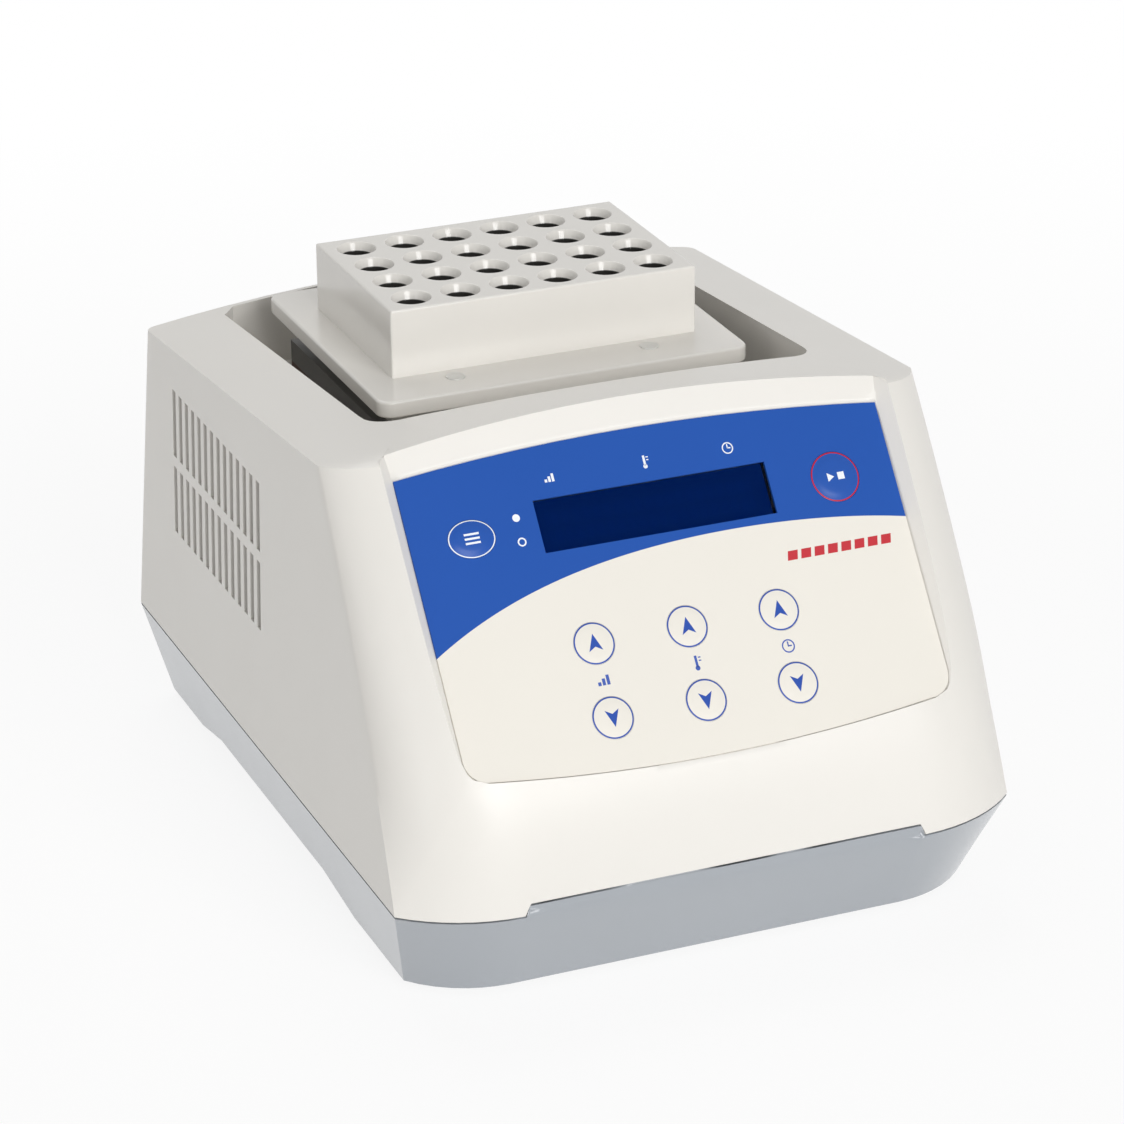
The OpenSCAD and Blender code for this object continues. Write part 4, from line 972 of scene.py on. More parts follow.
def make_block(sizes, material):
    """The tube block: wells on a grid, plain sides, and the flange with rounded edges."""
    half_x, half_y, shoulder, cy = 56.5, 37.65, 1.0, Form.block_cy
    top, low = BLOCK_HIGH[2] / MM, BLOCK_LOW[2] / MM
    flange_low, flange_z = (corner[2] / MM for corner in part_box("block_flange"))
    side_z, flange_mid = 175.0, 160.2
    flange_x, flange_y, flange_r = 68.25, 58.0, 5.0
    # The wells, and the border from them out and down the sides.
    well = tube_cell(WELL_PITCH, r=5.5, mouth=7.0, mouth_h=3.1, depth=36.3)
    cell = as_object("tube_cell", well, material)
    wells = node_mesh("tube_wells", grid_tree(), {
        "Cell": cell, "Across": WELLS_ACROSS, "Along": WELLS_ALONG, "Pitch": WELL_PITCH * MM,
        "Middle": (0.0, cy * MM, top * MM), "Finish": material}, material)
    bpy.data.objects.remove(cell)
    made = bmesh.new()
    made.from_mesh(wells.data)
    bpy.data.objects.remove(wells)
    sheet = Patchwork()
    inner_x, inner_y = WELL_PITCH * WELLS_ACROSS / 2, WELL_PITCH * WELLS_ALONG / 2
    quarter = [-math.pi / 4 + 2 * math.pi * i / CELL_SIDES for i in range(CELL_SIDES // 4 + 1)]
    marks = sorted({round(math.tan(turn), 9) for turn in quarter})

    def edge_marks(count):
        mids = [i - (count - 1) / 2 for i in range(count)]
        return sorted({round(WELL_PITCH * (mid + mark / 2), 6) for mid in mids for mark in marks})

    xs, ys = edge_marks(WELLS_ACROSS), edge_marks(WELLS_ALONG)
    loop_in = [(x, -inner_y) for x in xs] + [(inner_x, y) for y in ys[1:]]
    loop_in += [(x, inner_y) for x in xs[-2::-1]] + [(-inner_x, y) for y in ys[-2::-1]]
    loop_out = [(x * half_x / inner_x, y * half_y / inner_y) for x, y in loop_in]
    rows = [[(x, y + cy, top) for x, y in loop_in]]
    for z in (top, top - 4, side_z, flange_z + 3, flange_z - 0.5):
        rows.append([(x, y + cy, z) for x, y in loop_out])
    sheet.grid(rows)
    border = sheet.build()
    scratch = bpy.data.meshes.new("scratch")
    border.to_mesh(scratch)
    border.free()
    made.from_mesh(scratch)
    bpy.data.meshes.remove(scratch)
    bmesh.ops.remove_doubles(made, verts=made.verts[:], dist=BORDER_MERGE)
    turn_outwards(made)
    soften(made, 60.0)
    upper = rounded(as_object("block_upper", made, material), sizes.block_round)
    # The flange, a plate with round corners.
    lower = Patchwork()
    outline = []
    for sx, sy, a in ((1, 1, 0), (-1, 1, 90), (-1, -1, 180), (1, -1, 270)):
        corner = (sx * (flange_x - flange_r), sy * (flange_y - flange_r) + cy)
        outline += arc(*corner, flange_r, math.radians(a), math.radians(a + 90), 8)
    outline.append(outline[0])
    middle = [(x * 0.5, (y - cy) * 0.5 + cy) for x, y in outline]
    rows = [[(x, y, flange_z) for x, y in middle]]
    rows += [[(x, y, z) for x, y in outline] for z in (flange_z, flange_mid, flange_low)]
    rows += [[(x, y, flange_low) for x, y in middle]]
    lower.grid(rows)
    lower.cap([(x, y, flange_z) for x, y in middle[:-1]])
    lower.cap([(x, y, flange_low) for x, y in middle[:-1]])
    flange = lower.build()
    soften(flange, 30.0)
    flange = rounded(as_object("block_flange", flange, material), sizes.flange_round, 4)
    # The foot under the flange.
    boss = Patchwork()
    x, y = half_x + shoulder, half_y + shoulder
    square = [(x, -y), (x, y), (-x, y), (-x, -y), (x, -y)]
    boss.grid([[(x, y + cy, z) for x, y in square] for z in (flange_low, low + 2, low)])
    boss.cap([(x, y + cy, low) for x, y in square[:-1]])
    boss.cap([(x, y + cy, flange_low) for x, y in square[:-1]])
    boss = as_object("block_foot", boss.build(), material, smooth=False)
    flange.name = flange.data.name = "flange_skin"
    return joined("tube_block_skin", [upper, boss]), flange


def joined(name, things):
    """One mesh of several plain ones."""
    keep = things[0]
    with bpy.context.temp_override(
            active_object=keep, object=keep, selected_objects=things, selected_editable_objects=things):
        bpy.ops.object.join()
    keep.name = name
    keep.data.name = name
    return keep


def disc_cell(r, rise, edge, steps=40):
    """A round head with rounded shoulders, its seat at height 0."""
    sheet = Patchwork()
    turns = [2 * math.pi * i / steps for i in range(steps + 1)]
    profile = [
        (r, -0.2), (r, rise - edge), (r - edge * 0.3, rise - edge * 0.3), (r - edge, rise),
        (r * 0.62, rise + 0.06), (r * 0.3, rise + 0.09),
    ]
    rows = [[(radius * math.cos(t), radius * math.sin(t), z) for t in turns] for radius, z in profile]
    sheet.grid(rows)
    sheet.cap(rows[-1][:-1])
    return sheet.build()


def heads_at(name, cell, places, material):
    """Copies of one head at given places, each a 4x4 matrix."""
    made = Tree("Heads at places", Head="object", Place="place", Turn="place", Finish="material")
    given = made.given
    point = made.node("GeometryNodePoints", Count=1, Position=given["Place"])[0]
    shape = made.node("GeometryNodeObjectInfo", Object=given["Head"])["Geometry"]
    turn = made.node("FunctionNodeEulerToRotation", Euler=given["Turn"])[0]
    copies = made.node("GeometryNodeInstanceOnPoints", Points=point, Instance=shape, Rotation=turn)[0]
    tree = made.done(copies, given["Finish"])
    parts = []
    for i, place in enumerate(places):
        at, angles = tuple(place.to_translation()), tuple(place.to_euler())
        inputs = {"Head": cell, "Place": at, "Turn": angles, "Finish": material}
        parts.append(node_mesh(f"{name}_{i}", tree, inputs, material))
    bpy.data.objects.remove(cell)
    return joined(name, parts)


KEY_PITCH, KEY_UPPER, KEY_LOWER, SIDE_KEY_X, DISPLAY_S = 33.0, 48.8, 73.9, 65.1, 7.6
KEYS = {
    "key_seg_up": (-KEY_PITCH, KEY_UPPER), "key_seg_down": (-KEY_PITCH, KEY_LOWER),
    "key_temp_up": (0.0, KEY_UPPER), "key_temp_down": (0.0, KEY_LOWER),
    "key_time_up": (KEY_PITCH, KEY_UPPER), "key_time_down": (KEY_PITCH, KEY_LOWER),
    "key_program": (-SIDE_KEY_X, 7.8), "key_start": (SIDE_KEY_X, 7.8),
}
SIDE_KEY_RADII = {"key_program": (8.2, 6.4), "key_start": (8.7, 8.7)}
ARROW_KEY_RADII = (7.1, 7.1)
KEY_RIM, SIDE_KEY_DOME, ARROW_KEY_DOME = 0.12, 1.5, 0.8


def panel_matrix(form, x=0.0, s=0.0, out=0.0):
    """Places a flat drawing, in metres, on the panel."""
    at = Vector(form.panel(x, -s, out)) * MM
    return Matrix.Translation(at) @ Matrix.Rotation(form.angle, 4, "X")


def make_key(form, sizes, name, material):
    """A domed key cap with its plunger."""
    x, s = KEYS[name]
    rx, ry = SIDE_KEY_RADII.get(name, ARROW_KEY_RADII)
    rise = sizes.key_dome / MM * (SIDE_KEY_DOME if name in SIDE_KEY_RADII else ARROW_KEY_DOME)
    plunger_r, plunger_end, under = 2.5, -9.9, -0.4
    sheet = Patchwork()
    n = 64
    turns = [2 * math.pi * i / n for i in range(n + 1)]
    cap = (
        (1.0, under), (1.0, -0.05), (0.985, 0.02), (0.95, 0.08), (0.84, KEY_RIM),
        (0.76, KEY_RIM + rise * 0.45), (0.6, KEY_RIM + rise * 0.8), (0.35, KEY_RIM + rise),
    )
    rings = [(plunger_r, plunger_r, plunger_end), (plunger_r, plunger_r, under)]
    rings += [(rx * f, ry * f, z) for f, z in cap]
    rows = []
    for a, b, z in rings:
        rows.append([form.panel(x + a * math.cos(t), -s + b * math.sin(t), z) for t in turns])
    sheet.grid(rows)
    sheet.cap(rows[-1][:-1])
    sheet.cap(rows[0][:-1])
    made = sheet.build()
    return as_object(name + "_cap", made, material)


def flat_shape(form, name, loops, x, s, out, material):
    """A printed sign: flat closed outlines, in millimetres, laid on the panel."""
    made = bmesh.new()
    place = panel_matrix(form, x, s, out)
    for loop in loops:
        made.faces.new([made.verts.new(place @ Vector((px * MM, py * MM, 0))) for px, py in loop])
    up = Vector((0, -math.sin(form.angle), math.cos(form.angle)))
    for face in made.faces:
        face.normal_update()
        if face.normal.dot(up) < 0:
            face.normal_flip()
    bmesh.ops.triangulate(made, faces=made.faces[:])
    return as_object(name, made, material, smooth=False)


def bar(x0, y0, x1, y1, lean=0.0):
    return [(x0 + lean * y0, y0), (x1 + lean * y0, y0), (x1 + lean * y1, y1), (x0 + lean * y1, y1)]


def ring_quads(r, w, n=40):
    quads = []
    for i in range(n):
        a, b = 2 * math.pi * i / n, 2 * math.pi * (i + 1) / n
        quads.append([((r - w) * math.cos(a), (r - w) * math.sin(a)), (r * math.cos(a), r * math.sin(a)),
                      (r * math.cos(b), r * math.sin(b)), ((r - w) * math.cos(b), (r - w) * math.sin(b))])
    return quads


def disc_points(x, y, r, n=28):
    return [(x + r * math.cos(2 * math.pi * i / n), y + r * math.sin(2 * math.pi * i / n)) for i in range(n)]


def bars(h, *boxes):
    """Upright bars of a sign, given in shares of its height."""
    return [bar(*(share * h for share in box)) for box in boxes]


def thermometer(h):
    bulb = disc_points(0, -0.34 * h, 0.17 * h)
    return [bulb] + bars(h, (-0.09, -0.3, 0.09, 0.5), (0.18, 0.1, 0.36, 0.18), (0.18, 0.32, 0.36, 0.4))


def clock_face(h):
    hands = bars(h, (-0.05, -0.05, 0.05, 0.34), (-0.05, -0.05, 0.27, 0.05))
    return ring_quads(0.5 * h, 0.1 * h) + hands


def steps_sign(h):
    return bars(h, (-0.5, -0.4, -0.24, -0.1), (-0.13, -0.4, 0.13, 0.15), (0.24, -0.4, 0.5, 0.4))


SWEEP = (0.02022, -0.00640, 0.01230, -0.00330, 0.00240)
WHITE_DRIFT, BLUE_DRIFT = (0.985, 1.01, 22.0), (0.97, 1.04, 18.0)


def film_material(colours, form):
    """Printed film of the panel: blue above a sweeping line, warm white below, and a fine surface."""
    made = Finish("panel_film", Specular_IOR_Level=0.12)
    x = made.x / (form.overlay_w / 2 * MM)
    sweep = SWEEP[-1]
    for share in SWEEP[-2::-1]:
        sweep = share + x * sweep
    below = sweep - made.down_panel(form)
    fine = made.noise(3200.0)
    white = made.mottled(colours.film_white, *WHITE_DRIFT)
    blue = made.mottled(colours.film_blue, *BLUE_DRIFT)
    made.set(Base_Color=made.mix(blue, white, below.under(0.0)))
    made.set(Roughness=0.42 + 0.06 * fine)
    return made.bump(fine, 0.00002, 0.3).material


def key_material(colours, form):
    """White arrow keys: a ring at the rim, and an arrow, up in the upper row and down in the lower."""
    made = Finish("arrow_keys", Specular_IOR_Level=0.12)
    pitch, row_pitch = KEY_PITCH * MM, (KEY_LOWER - KEY_UPPER) * MM
    ring_out, ring_in = 0.00702, 0.00652
    fall = made.down_panel(form) - KEY_UPPER * MM
    x = made.x - (made.x / pitch).whole() * pitch
    row = (fall / row_pitch).whole()
    t = fall - row * row_pitch
    up = t * (row * 2.0 - 1.0)
    far = (x * x + t * t).root()
    ring = far.under(ring_out) * (1.0 - far.under(ring_in))
    tip = (abs(x) * 0.92 + up * 0.385).under(0.00125)
    notch = (abs(x) * -0.5 - up * 0.866).under(0.00105)
    white = made.mottled(colours.film_white, *WHITE_DRIFT)
    made.set(Base_Color=made.mix(white, tuple(colours.print_blue), ring.most(tip * notch)))
    made.set(Roughness=0.36 + 0.06 * made.noise(3200.0))
    return made.material


def side_key_material(name, colours, form, key, ring_colour):
    """Blue side keys with a coloured ring near the rim."""
    made = Finish(name, Specular_IOR_Level=0.2)
    (x0, s0), (rx, ry) = KEYS[key], SIDE_KEY_RADII[key]
    x, t = (made.x - x0 * MM) / (rx * MM), (made.down_panel(form) - s0 * MM) / (ry * MM)
    far = (x * x + t * t).root()
    ring = far.under(0.985, 0.008) * (1.0 - far.under(0.935, 0.008))
    blue = made.mottled(colours.film_blue, *BLUE_DRIFT)
    made.set(Base_Color=made.mix(blue, tuple(ring_colour), ring))
    made.set(Roughness=0.26 + 0.06 * made.noise(2800.0))
    return made.material


class HEATER_OT_housing(bpy.types.Operator):
    """Moulds the upper housing with its recess, vents and sunk well"""

    bl_idname = "heater.housing"
    bl_label = "Upper housing"

    def execute(self, context):
        sizes, colours = context.scene.heater_sizes, context.scene.heater_colours
        finish = moulded("housing_plastic", tuple(colours.housing), 0.34, coat=0.08)
        made, form = make_housing(sizes)
        skin = rounded(as_object("housing_skin", made, finish), sizes.edge_round)
        seat(skin, "body", "housing_plastic", "upper_housing")
        # The band in the seam's groove is painted shadow, given a near-black finish.
        dark = moulded("seam_shadow", (0.02, 0.02, 0.022), 0.7)
        seat(as_object("seam_band", make_seam_band(form), dark), "body", "black_plastic")
        return {"FINISHED"}


class HEATER_OT_base(bpy.types.Operator):
    """Moulds the base tray with its tab and finger grips"""

    bl_idname = "heater.base"
    bl_label = "Base tray"

    def execute(self, context):
        sizes, colours = context.scene.heater_sizes, context.scene.heater_colours
        finish = moulded("base_plastic", tuple(colours.base), 0.32, grain=1900.0, coat=0.9)
        skin = rounded(as_object("base_skin", make_base(sizes, Form(sizes)), finish), sizes.base_round)
        seat(skin, "body", "base_plastic", "base_tray")
        dress(moulded("foot_rubber", (0.03, 0.03, 0.032), 0.75, grain=900.0), "rubber_feet")
        return {"FINISHED"}


class HEATER_OT_block(bpy.types.Operator):
    """Makes the tube block with its wells and flange, and the screws in the flange"""

    bl_idname = "heater.block"
    bl_label = "Tube block"

    def execute(self, context):
        sizes, colours = context.scene.heater_sizes, context.scene.heater_colours
        finish = Finish("anodised_block", Specular_IOR_Level=0.5)
        colour = tuple(colours.block)
        fine = finish.noise(2400.0)
        tint = finish.mottled(colour, 0.97, 1.02, 30.0, 3.0)
        across = finish.x / (WELL_PITCH * MM) - 0.5
        along = (finish.y - Form.block_cy * MM) / (WELL_PITCH * MM) - 0.5
        off_x, off_y = across - across.whole(), along - along.whole()
        # The wells are painted dark inside, from under their mouths down to the level of the flange: painted
        # shade where little light reaches.
        dark_r, dark_top, dark_low = 5.62 / WELL_PITCH, 0.1851, 0.1655
        painted_bore_shade = (off_x * off_x + off_y * off_y).root().under(dark_r, 0.004)
        painted_bore_shade = painted_bore_shade * finish.z.under(dark_top, 0.0005) * finish.z.math("GREATER_THAN", finish.z, dark_low)
        finish.set(Base_Color=finish.mix(tint, shade(colour, 0.05), painted_bore_shade))
        finish.set(Roughness=0.11 + 0.05 * finish.noise(60.0) + 0.03 * fine)
        finish.bump(fine, 0.000008, 0.2)
        block, flange = make_block(sizes, finish.material)
        seat(block, "body", "anodised", "tube_block")
        seat(flange, "body", "anodised", "block_flange")
        steel = machined("screw_steel", (0.66, 0.66, 0.64), 0.35, 0.3)
        head_r, seat_z = 3.4, 163.2
        low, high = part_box("block_screws")
        xs, ys = [(low[k] + head_r * MM, high[k] - head_r * MM) for k in (0, 1)]
        places = [Matrix.Translation((x, y, seat_z * MM)) for x in xs for y in ys]
        head = as_object("flange_head", disc_cell(head_r, 0.32, 0.3), steel)
        seat(heads_at("flange_screw_heads", head, places, steel), "body", "zinc_steel")
        dress(steel, "block_screws")
        return {"FINISHED"}


class HEATER_OT_panel(bpy.types.Operator):
    """Prints the panel's film and lays its plain signs"""

    bl_idname = "heater.panel"
    bl_label = "Panel print"

    def execute(self, context):
        sizes, colours = context.scene.heater_sizes, context.scene.heater_colours
        form = Form(sizes)
        dress(film_material(colours, form), "panel_overlay")
        lift = sizes.print_lift / MM
        white = moulded("print_white", tuple(colours.print_white), 0.4)
        blue = moulded("print_blue", tuple(colours.print_blue), 0.4)
        red = moulded("print_red", tuple(colours.print_red), 0.4)
        stripe = [bar(4.9 * i - 19.4, -1.6, 4.9 * i - 15.8, 1.6, 0.25) for i in range(8)]
        between, above, beside = 61.3, -8.0, -48.5
        signs = [
            ("steps_sign", steps_sign(4.2), -KEY_PITCH, between, blue),
            ("heat_sign", thermometer(5.0), 0.0, between, blue),
            ("time_sign", clock_face(4.6), KEY_PITCH, between, blue),
            ("steps_mark", steps_sign(3.4), -34.0, above, white),
            ("heat_mark", thermometer(4.4), 0.0, above, white),
            ("time_mark", clock_face(4.0), 30.0, above, white),
            ("now_mark", [disc_points(0, 0, 1.3)], beside, 3.4, white),
            ("aim_mark", ring_quads(1.5, 0.5), beside, 11.6, white),
            ("red_stripe", stripe, 60.5, 31.6, red),
        ]
        for name, loops, x, s, ink in signs:
            seat(flat_shape(form, name, loops, x, s, lift, ink), "body", "overlay_film")
        return {"FINISHED"}


class HEATER_OT_keys(bpy.types.Operator):
    """Makes the eight keys with their prints"""

    bl_idname = "heater.keys"
    bl_label = "Keys"

    def execute(self, context):
        sizes, colours = context.scene.heater_sizes, context.scene.heater_colours
        form = Form(sizes)
        arrows = key_material(colours, form)
        side_keys = {
            "key_program": side_key_material(
                "program_key", colours, form, "key_program", colours.print_white),
            "key_start": side_key_material(
                "start_key", colours, form, "key_start", colours.print_red),
        }
        for name in KEYS:
            cap = make_key(form, sizes, name, side_keys.get(name, arrows))
            seat(cap, name, "key_blue" if name in side_keys else "key_white", name)
        white = bpy.data.materials["print_white"]
        lift = KEY_RIM + sizes.key_dome / MM * SIDE_KEY_DOME + sizes.print_lift / MM
        lines = [bar(-2.6, y - 0.35, 2.6, y + 0.35) for y in (-1.5, 0.0, 1.5)]
        play_stop = [[(-3.0, -1.5), (-0.6, 0.0), (-3.0, 1.5)], bar(0.7, -1.25, 3.1, 1.25)]
        signs = (("key_program", "program_sign", lines), ("key_start", "start_sign", play_stop))
        for key, name, loops in signs:
            seat(flat_shape(form, name, loops, *KEYS[key], lift, white), key, "overlay_film")
        return {"FINISHED"}


class HEATER_OT_display(bpy.types.Operator):
    """Finishes the display, its clear pane and the dark frame behind the window"""

    bl_idname = "heater.display"
    bl_label = "Display"

    def execute(self, context):
        sizes, colours = context.scene.heater_sizes, context.scene.heater_colours
        form = Form(sizes)
        # The display's dark blue is a painted glow. The glass is near black, and its blue and slightly lighter
        # character cells come from emission, though the display is no lamp.
        glass = Finish("display_glass", Roughness=0.35, Specular_IOR_Level=0.0, Emission_Strength=1.0)
        glass.set(Base_Color=(0.0, 0.0005, 0.002))
        cell_w, cell_h, field_x, field_s, soft = 0.0037, 0.0058, 0.0369, 0.0056, 0.0002
        fall = glass.down_panel(form) - DISPLAY_S * MM
        col, row = glass.x / cell_w, (fall - cell_h / 2) / cell_h
        cell = abs(col - col.whole()).under(0.41, 0.04) * abs(row - row.whole()).under(0.42, 0.04)
        cell = cell * abs(fall).under(field_s, soft) * abs(glass.x).under(field_x, soft)
        colour = tuple(colours.display)
        glowing_cells = cell * (0.7 + 0.3 * glass.noise(90.0))
        glass.set(Emission_Color=glass.mix(colour, shade(colour, 1.15), glowing_cells))
        dress(glass.material, "lcd_glass")
        pane = Finish("clear_pane", Base_Color=(0.97, 0.985, 1.0), Transmission_Weight=1.0, IOR=1.06)
        pane.set(Roughness=0.02 + 0.02 * pane.noise(300.0))
        dress(pane.material, "display_window")
        black = moulded("window_frame_black", (0.006, 0.006, 0.008), 0.6)
        sheet = Patchwork()
        x, s, up = 42.2, 9.7, -DISPLAY_S
        bed, ledge, deep, floor = -1.02, -2.52, -4.0, -5.3
        corners = [(-x, -s), (x, -s), (x, s), (-x, s), (-x, -s)]

        def ring(out, wide=1.0, tall=1.0):
            return [form.panel(px * wide, py * tall + up, out) for px, py in corners]

        sheet.grid([ring(bed, 1.16, 1.3), ring(bed)])
        sheet.grid([ring(ledge), ring(deep), ring(floor)])
        sheet.grid([ring(ledge), ring(ledge, 0.988, 0.95)])
        made = sheet.build()
        seat(as_object("window_frame", made, black, smooth=False), "body", "black_plastic")
        return {"FINISHED"}


class HEATER_OT_back(bpy.types.Operator):
    """Finishes the inlet, fuse drawer and switch on the back"""

    bl_idname = "heater.back"
    bl_label = "Back fittings"

    def execute(self, context):
        black = moulded("fitting_black", (0.018, 0.018, 0.02), 0.42, grain=1500.0)
        dress(black, "inlet_socket", "fuse_drawer", "switch_body", "switch_rocker")
        plated = machined("contact_plate", (0.75, 0.70, 0.58), 1.0, 0.28)
        dress(plated, "inlet_pins")
        tube = Finish("fuse_glass", Base_Color=(0.9, 0.92, 0.93), Transmission_Weight=0.6)
        tube.set(Roughness=0.08 + 0.04 * tube.noise(200.0))
        dress(tube.material, "fuse_link")
        steel = machined("plated_screws", (0.62, 0.63, 0.65), 1.0, 0.32)
        dress(steel, "inlet_screws", "foot_screws", "housing_screws", "fan_screws", "board_screws")
        dress(steel, "lcd_spacers", "bridge_screws", "transformer_screws", "power_screws")
        return {"FINISHED"}


class HEATER_OT_inside(bpy.types.Operator):
    """Finishes the pieces inside the body"""

    bl_idname = "heater.inside"
    bl_label = "Inner pieces"

    def execute(self, context):
        # The heater plate, insulation and heater mat get dark colours, partly their own and partly painted
        # shade, so that the gap under the flange looks shaded.
        dress(machined("dark_anodised", (0.085, 0.083, 0.08), 0.2, 0.45), "heater_plate", "heat_sink")
        steel = machined("sheet_steel", (0.60, 0.61, 0.62), 1.0, 0.4, (40.0, 1.0, 1.0))
        dress(steel, "clamp_plate", "heater_bridge", "temp_probe")
        board = Finish("circuit_board", Roughness=0.35)
        to_edge = {"feature": "DISTANCE_TO_EDGE"}
        lines = board.node("ShaderNodeTexVoronoi", to_edge, Vector=board.place, Scale=260.0)["Distance"]
        board.set(Base_Color=board.mix((0.012, 0.10, 0.035), (0.03, 0.17, 0.06), lines.under(0.06, 0.02)))
        dress(board.material, "control_board", "power_board", "lcd_frame")
        wool = Finish("fibre_wool", Roughness=0.95)
        strands = wool.noise(420.0, 6.0, 0.7)
        wool.set(Base_Color=wool.mix((0.11, 0.10, 0.09), (0.20, 0.185, 0.165), strands))
        dress(wool.bump(strands, 0.0004).material, "insulation")
        dress(moulded("silicone_mat", (0.05, 0.018, 0.012), 0.6, grain=700.0), "heater_mat")
        dress(moulded("ceramic_grey", (0.16, 0.15, 0.14), 0.35), "ceramic_spacers")
        core = Finish("core_laminations", Metallic=0.6)
        leaves = core.waves("Y", 500.0, 0.4)
        core.set(Base_Color=core.mix((0.05, 0.05, 0.055), (0.14, 0.14, 0.15), leaves))
        core.set(Roughness=0.35 + 0.2 * leaves)
        dress(core.bump(leaves, 0.0001, 0.5).material, "transformer")
        tape = Finish("coil_tape", Roughness=0.45)
        turns = tape.waves("Z", 60.0, 1.0)
        tape.set(Base_Color=tape.mix((0.52, 0.30, 0.05), (0.66, 0.42, 0.09), turns))
        dress(tape.bump(turns, 0.0001, 0.4).material, "transformer_coil")
        black = moulded("inner_black", (0.015, 0.015, 0.017), 0.5)
        dress(black, "key_switches", "heat_cutout", "fan_frame", "fan_rotor")
        return {"FINISHED"}


def lay_floor(colours):
    """A white floor that is seen nearly without shadow, and still bounces light on the object."""
    floor = Finish("studio_floor", Roughness=0.9, Specular_IOR_Level=0.0)
    tree = floor.tree
    rays = floor.node("ShaderNodeLightPath")
    floor.set(Base_Color=floor.mottled(colours.floor, 0.995, 1.0, 3.0))
    seen = rays["Is Camera Ray"].most(rays["Is Glossy Ray"]).most(rays["Is Transmission Ray"])
    glow = floor.node("ShaderNodeEmission", Color=(1.0, 1.0, 1.0), Strength=1.0)["Emission"]
    near_glow, fade_start, fade_run = 0.88, 0.3, 0.5
    far = ((floor.x * floor.x + floor.y * floor.y).root() - fade_start) / fade_run
    blend = tree.nodes.new("ShaderNodeMixShader")
    feed(tree, blend.inputs[0], seen * (near_glow + (1.0 - near_glow) * far.clamp()))
    tree.links.new(floor.shader.outputs[0], blend.inputs[1])
    tree.links.new(glow.socket, blend.inputs[2])
    tree.links.new(blend.outputs[0], next(n for n in tree.nodes if n.type == "OUTPUT_MATERIAL").inputs[0])
    reach, under = np.linspace(-6000, 6000, 13), -0.2
    sheet = Patchwork()
    sheet.grid([[(x, y, under) for x in reach] for y in reach])
    as_object("studio_floor", sheet.build(), floor.material)


def light_room(scene):
    """A white room, dimmer where it lights the object than where it is seen, and four soft lamps."""
    world = bpy.data.worlds.new("studio")
    world.use_nodes = True
    scene.world = world
    tree = world.node_tree
    back = tree.nodes["Background"]
    path = tree.nodes.new("ShaderNodeLightPath")
    bright = tree.nodes.new("ShaderNodeMath")
    bright.operation = "MAXIMUM"
    tree.links.new(path.outputs["Is Camera Ray"], bright.inputs[0])
    tree.links.new(path.outputs["Is Glossy Ray"], bright.inputs[1])
    level = tree.nodes.new("ShaderNodeMapRange")
    tree.links.new(bright.outputs[0], level.inputs["Value"])
    level.inputs["To Min"].default_value = 0.31
    level.inputs["To Max"].default_value = 1.0
    tree.links.new(level.outputs[0], back.inputs["Strength"])
    back.inputs["Color"].default_value = (1.0, 1.0, 1.0, 1.0)
    aim = Vector((0.0, 0.0, 0.08))
    lamps = (
        ("front_softbox", (0.25, -2.9, 1.22), (1.6, 1.6), 61.0),
        ("rear_softbox", (0.1, 1.5, 2.2), (1.6, 1.6), 18.5),
        ("left_softbox", (-2.2, -0.3, 0.3), (1.2, 1.2), 3.3),
        ("corner_strip", (-1.3, -0.85, 0.45), (0.2, 1.0), 1.6),
    )
    for name, place, size, power in lamps:
        lamp = bpy.data.lights.new(name, "AREA")
        lamp.shape = "RECTANGLE"
        lamp.size, lamp.size_y = size
        lamp.energy = power
        holder = bpy.data.objects.new(name, lamp)
        holder.location = place
        holder.rotation_euler = (aim - Vector(place)).to_track_quat("-Z", "Y").to_euler()
        holder.visible_camera = False
        scene.collection.objects.link(holder)


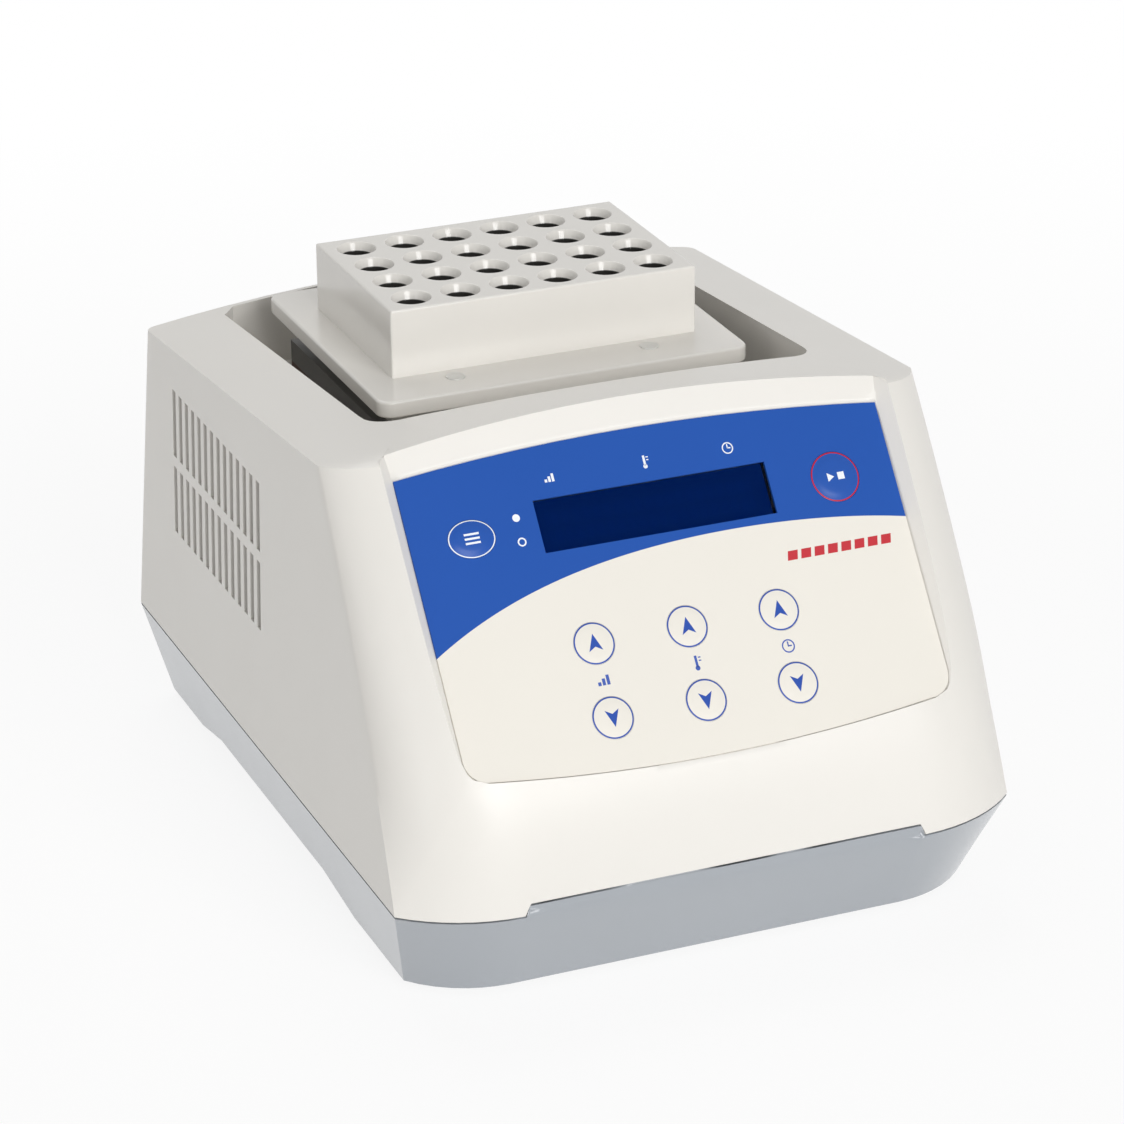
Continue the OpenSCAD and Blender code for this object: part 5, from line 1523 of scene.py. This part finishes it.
def set_camera(scene):
    """The camera that was fitted to the photograph: turn, height angle, roll, distance and lens."""
    az, el, roll = math.radians(-22.462), math.radians(23.7759), math.radians(-0.4793)
    aim, distance = Vector((0.02099, 0.048, 0.06625)), 1.57157
    sensor, focal, frame_width = 36.0, 4333.29, 1124
    away = Vector((math.sin(az) * math.cos(el), -math.cos(az) * math.cos(el), math.sin(el)))
    right = Vector((math.cos(az), math.sin(az), 0.0))
    up = away.cross(right)
    across = right * math.cos(roll) + up * math.sin(roll)
    upright = up * math.cos(roll) - right * math.sin(roll)
    camera = bpy.data.objects.new("camera", bpy.data.cameras.new("camera"))
    camera.data.sensor_width = sensor
    camera.data.lens = focal / frame_width * sensor
    camera.data.clip_end = 50.0
    turn = Matrix((across, upright, away)).transposed().to_4x4()
    camera.matrix_world = Matrix.Translation(aim + away * distance) @ turn
    scene.collection.objects.link(camera)
    scene.camera = camera


class HEATER_OT_stage(bpy.types.Operator):
    """Sets the pale floor, the soft light and the camera"""

    bl_idname = "heater.stage"
    bl_label = "Stage"

    def execute(self, context):
        scene = context.scene
        scene.view_settings.view_transform = "Standard"
        lay_floor(scene.heater_colours)
        light_room(scene)
        set_camera(scene)
        return {"FINISHED"}


PIECES = (
    HEATER_OT_stage, HEATER_OT_housing, HEATER_OT_base, HEATER_OT_block, HEATER_OT_panel,
    HEATER_OT_keys, HEATER_OT_display, HEATER_OT_back, HEATER_OT_inside,
)


class HEATER_PT_sidebar(bpy.types.Panel):
    """Lists the heater's pieces, sizes and colours"""

    bl_label = "Block heater"
    bl_idname = "HEATER_PT_sidebar"
    bl_space_type = "VIEW_3D"
    bl_region_type = "UI"
    bl_category = "Block heater"

    def draw(self, context):
        for piece in PIECES:
            self.layout.operator(piece.bl_idname)
        for group in (context.scene.heater_sizes, context.scene.heater_colours):
            for key in group.__annotations__:
                self.layout.prop(group, key)


CLASSES = (HeaterSizes, HeaterColours, *PIECES, HEATER_PT_sidebar)


def register():
    for each in CLASSES:
        bpy.utils.register_class(each)
    bpy.types.Scene.heater_sizes = bpy.props.PointerProperty(type=HeaterSizes)
    bpy.types.Scene.heater_colours = bpy.props.PointerProperty(type=HeaterColours)


def unregister():
    del bpy.types.Scene.heater_colours
    del bpy.types.Scene.heater_sizes
    for each in reversed(CLASSES):
        bpy.utils.unregister_class(each)


def main():
    register()
    for piece in PIECES:
        group, name = piece.bl_idname.split(".")
        getattr(getattr(bpy.ops, group), name)()


if __name__ == "__main__":
    main()
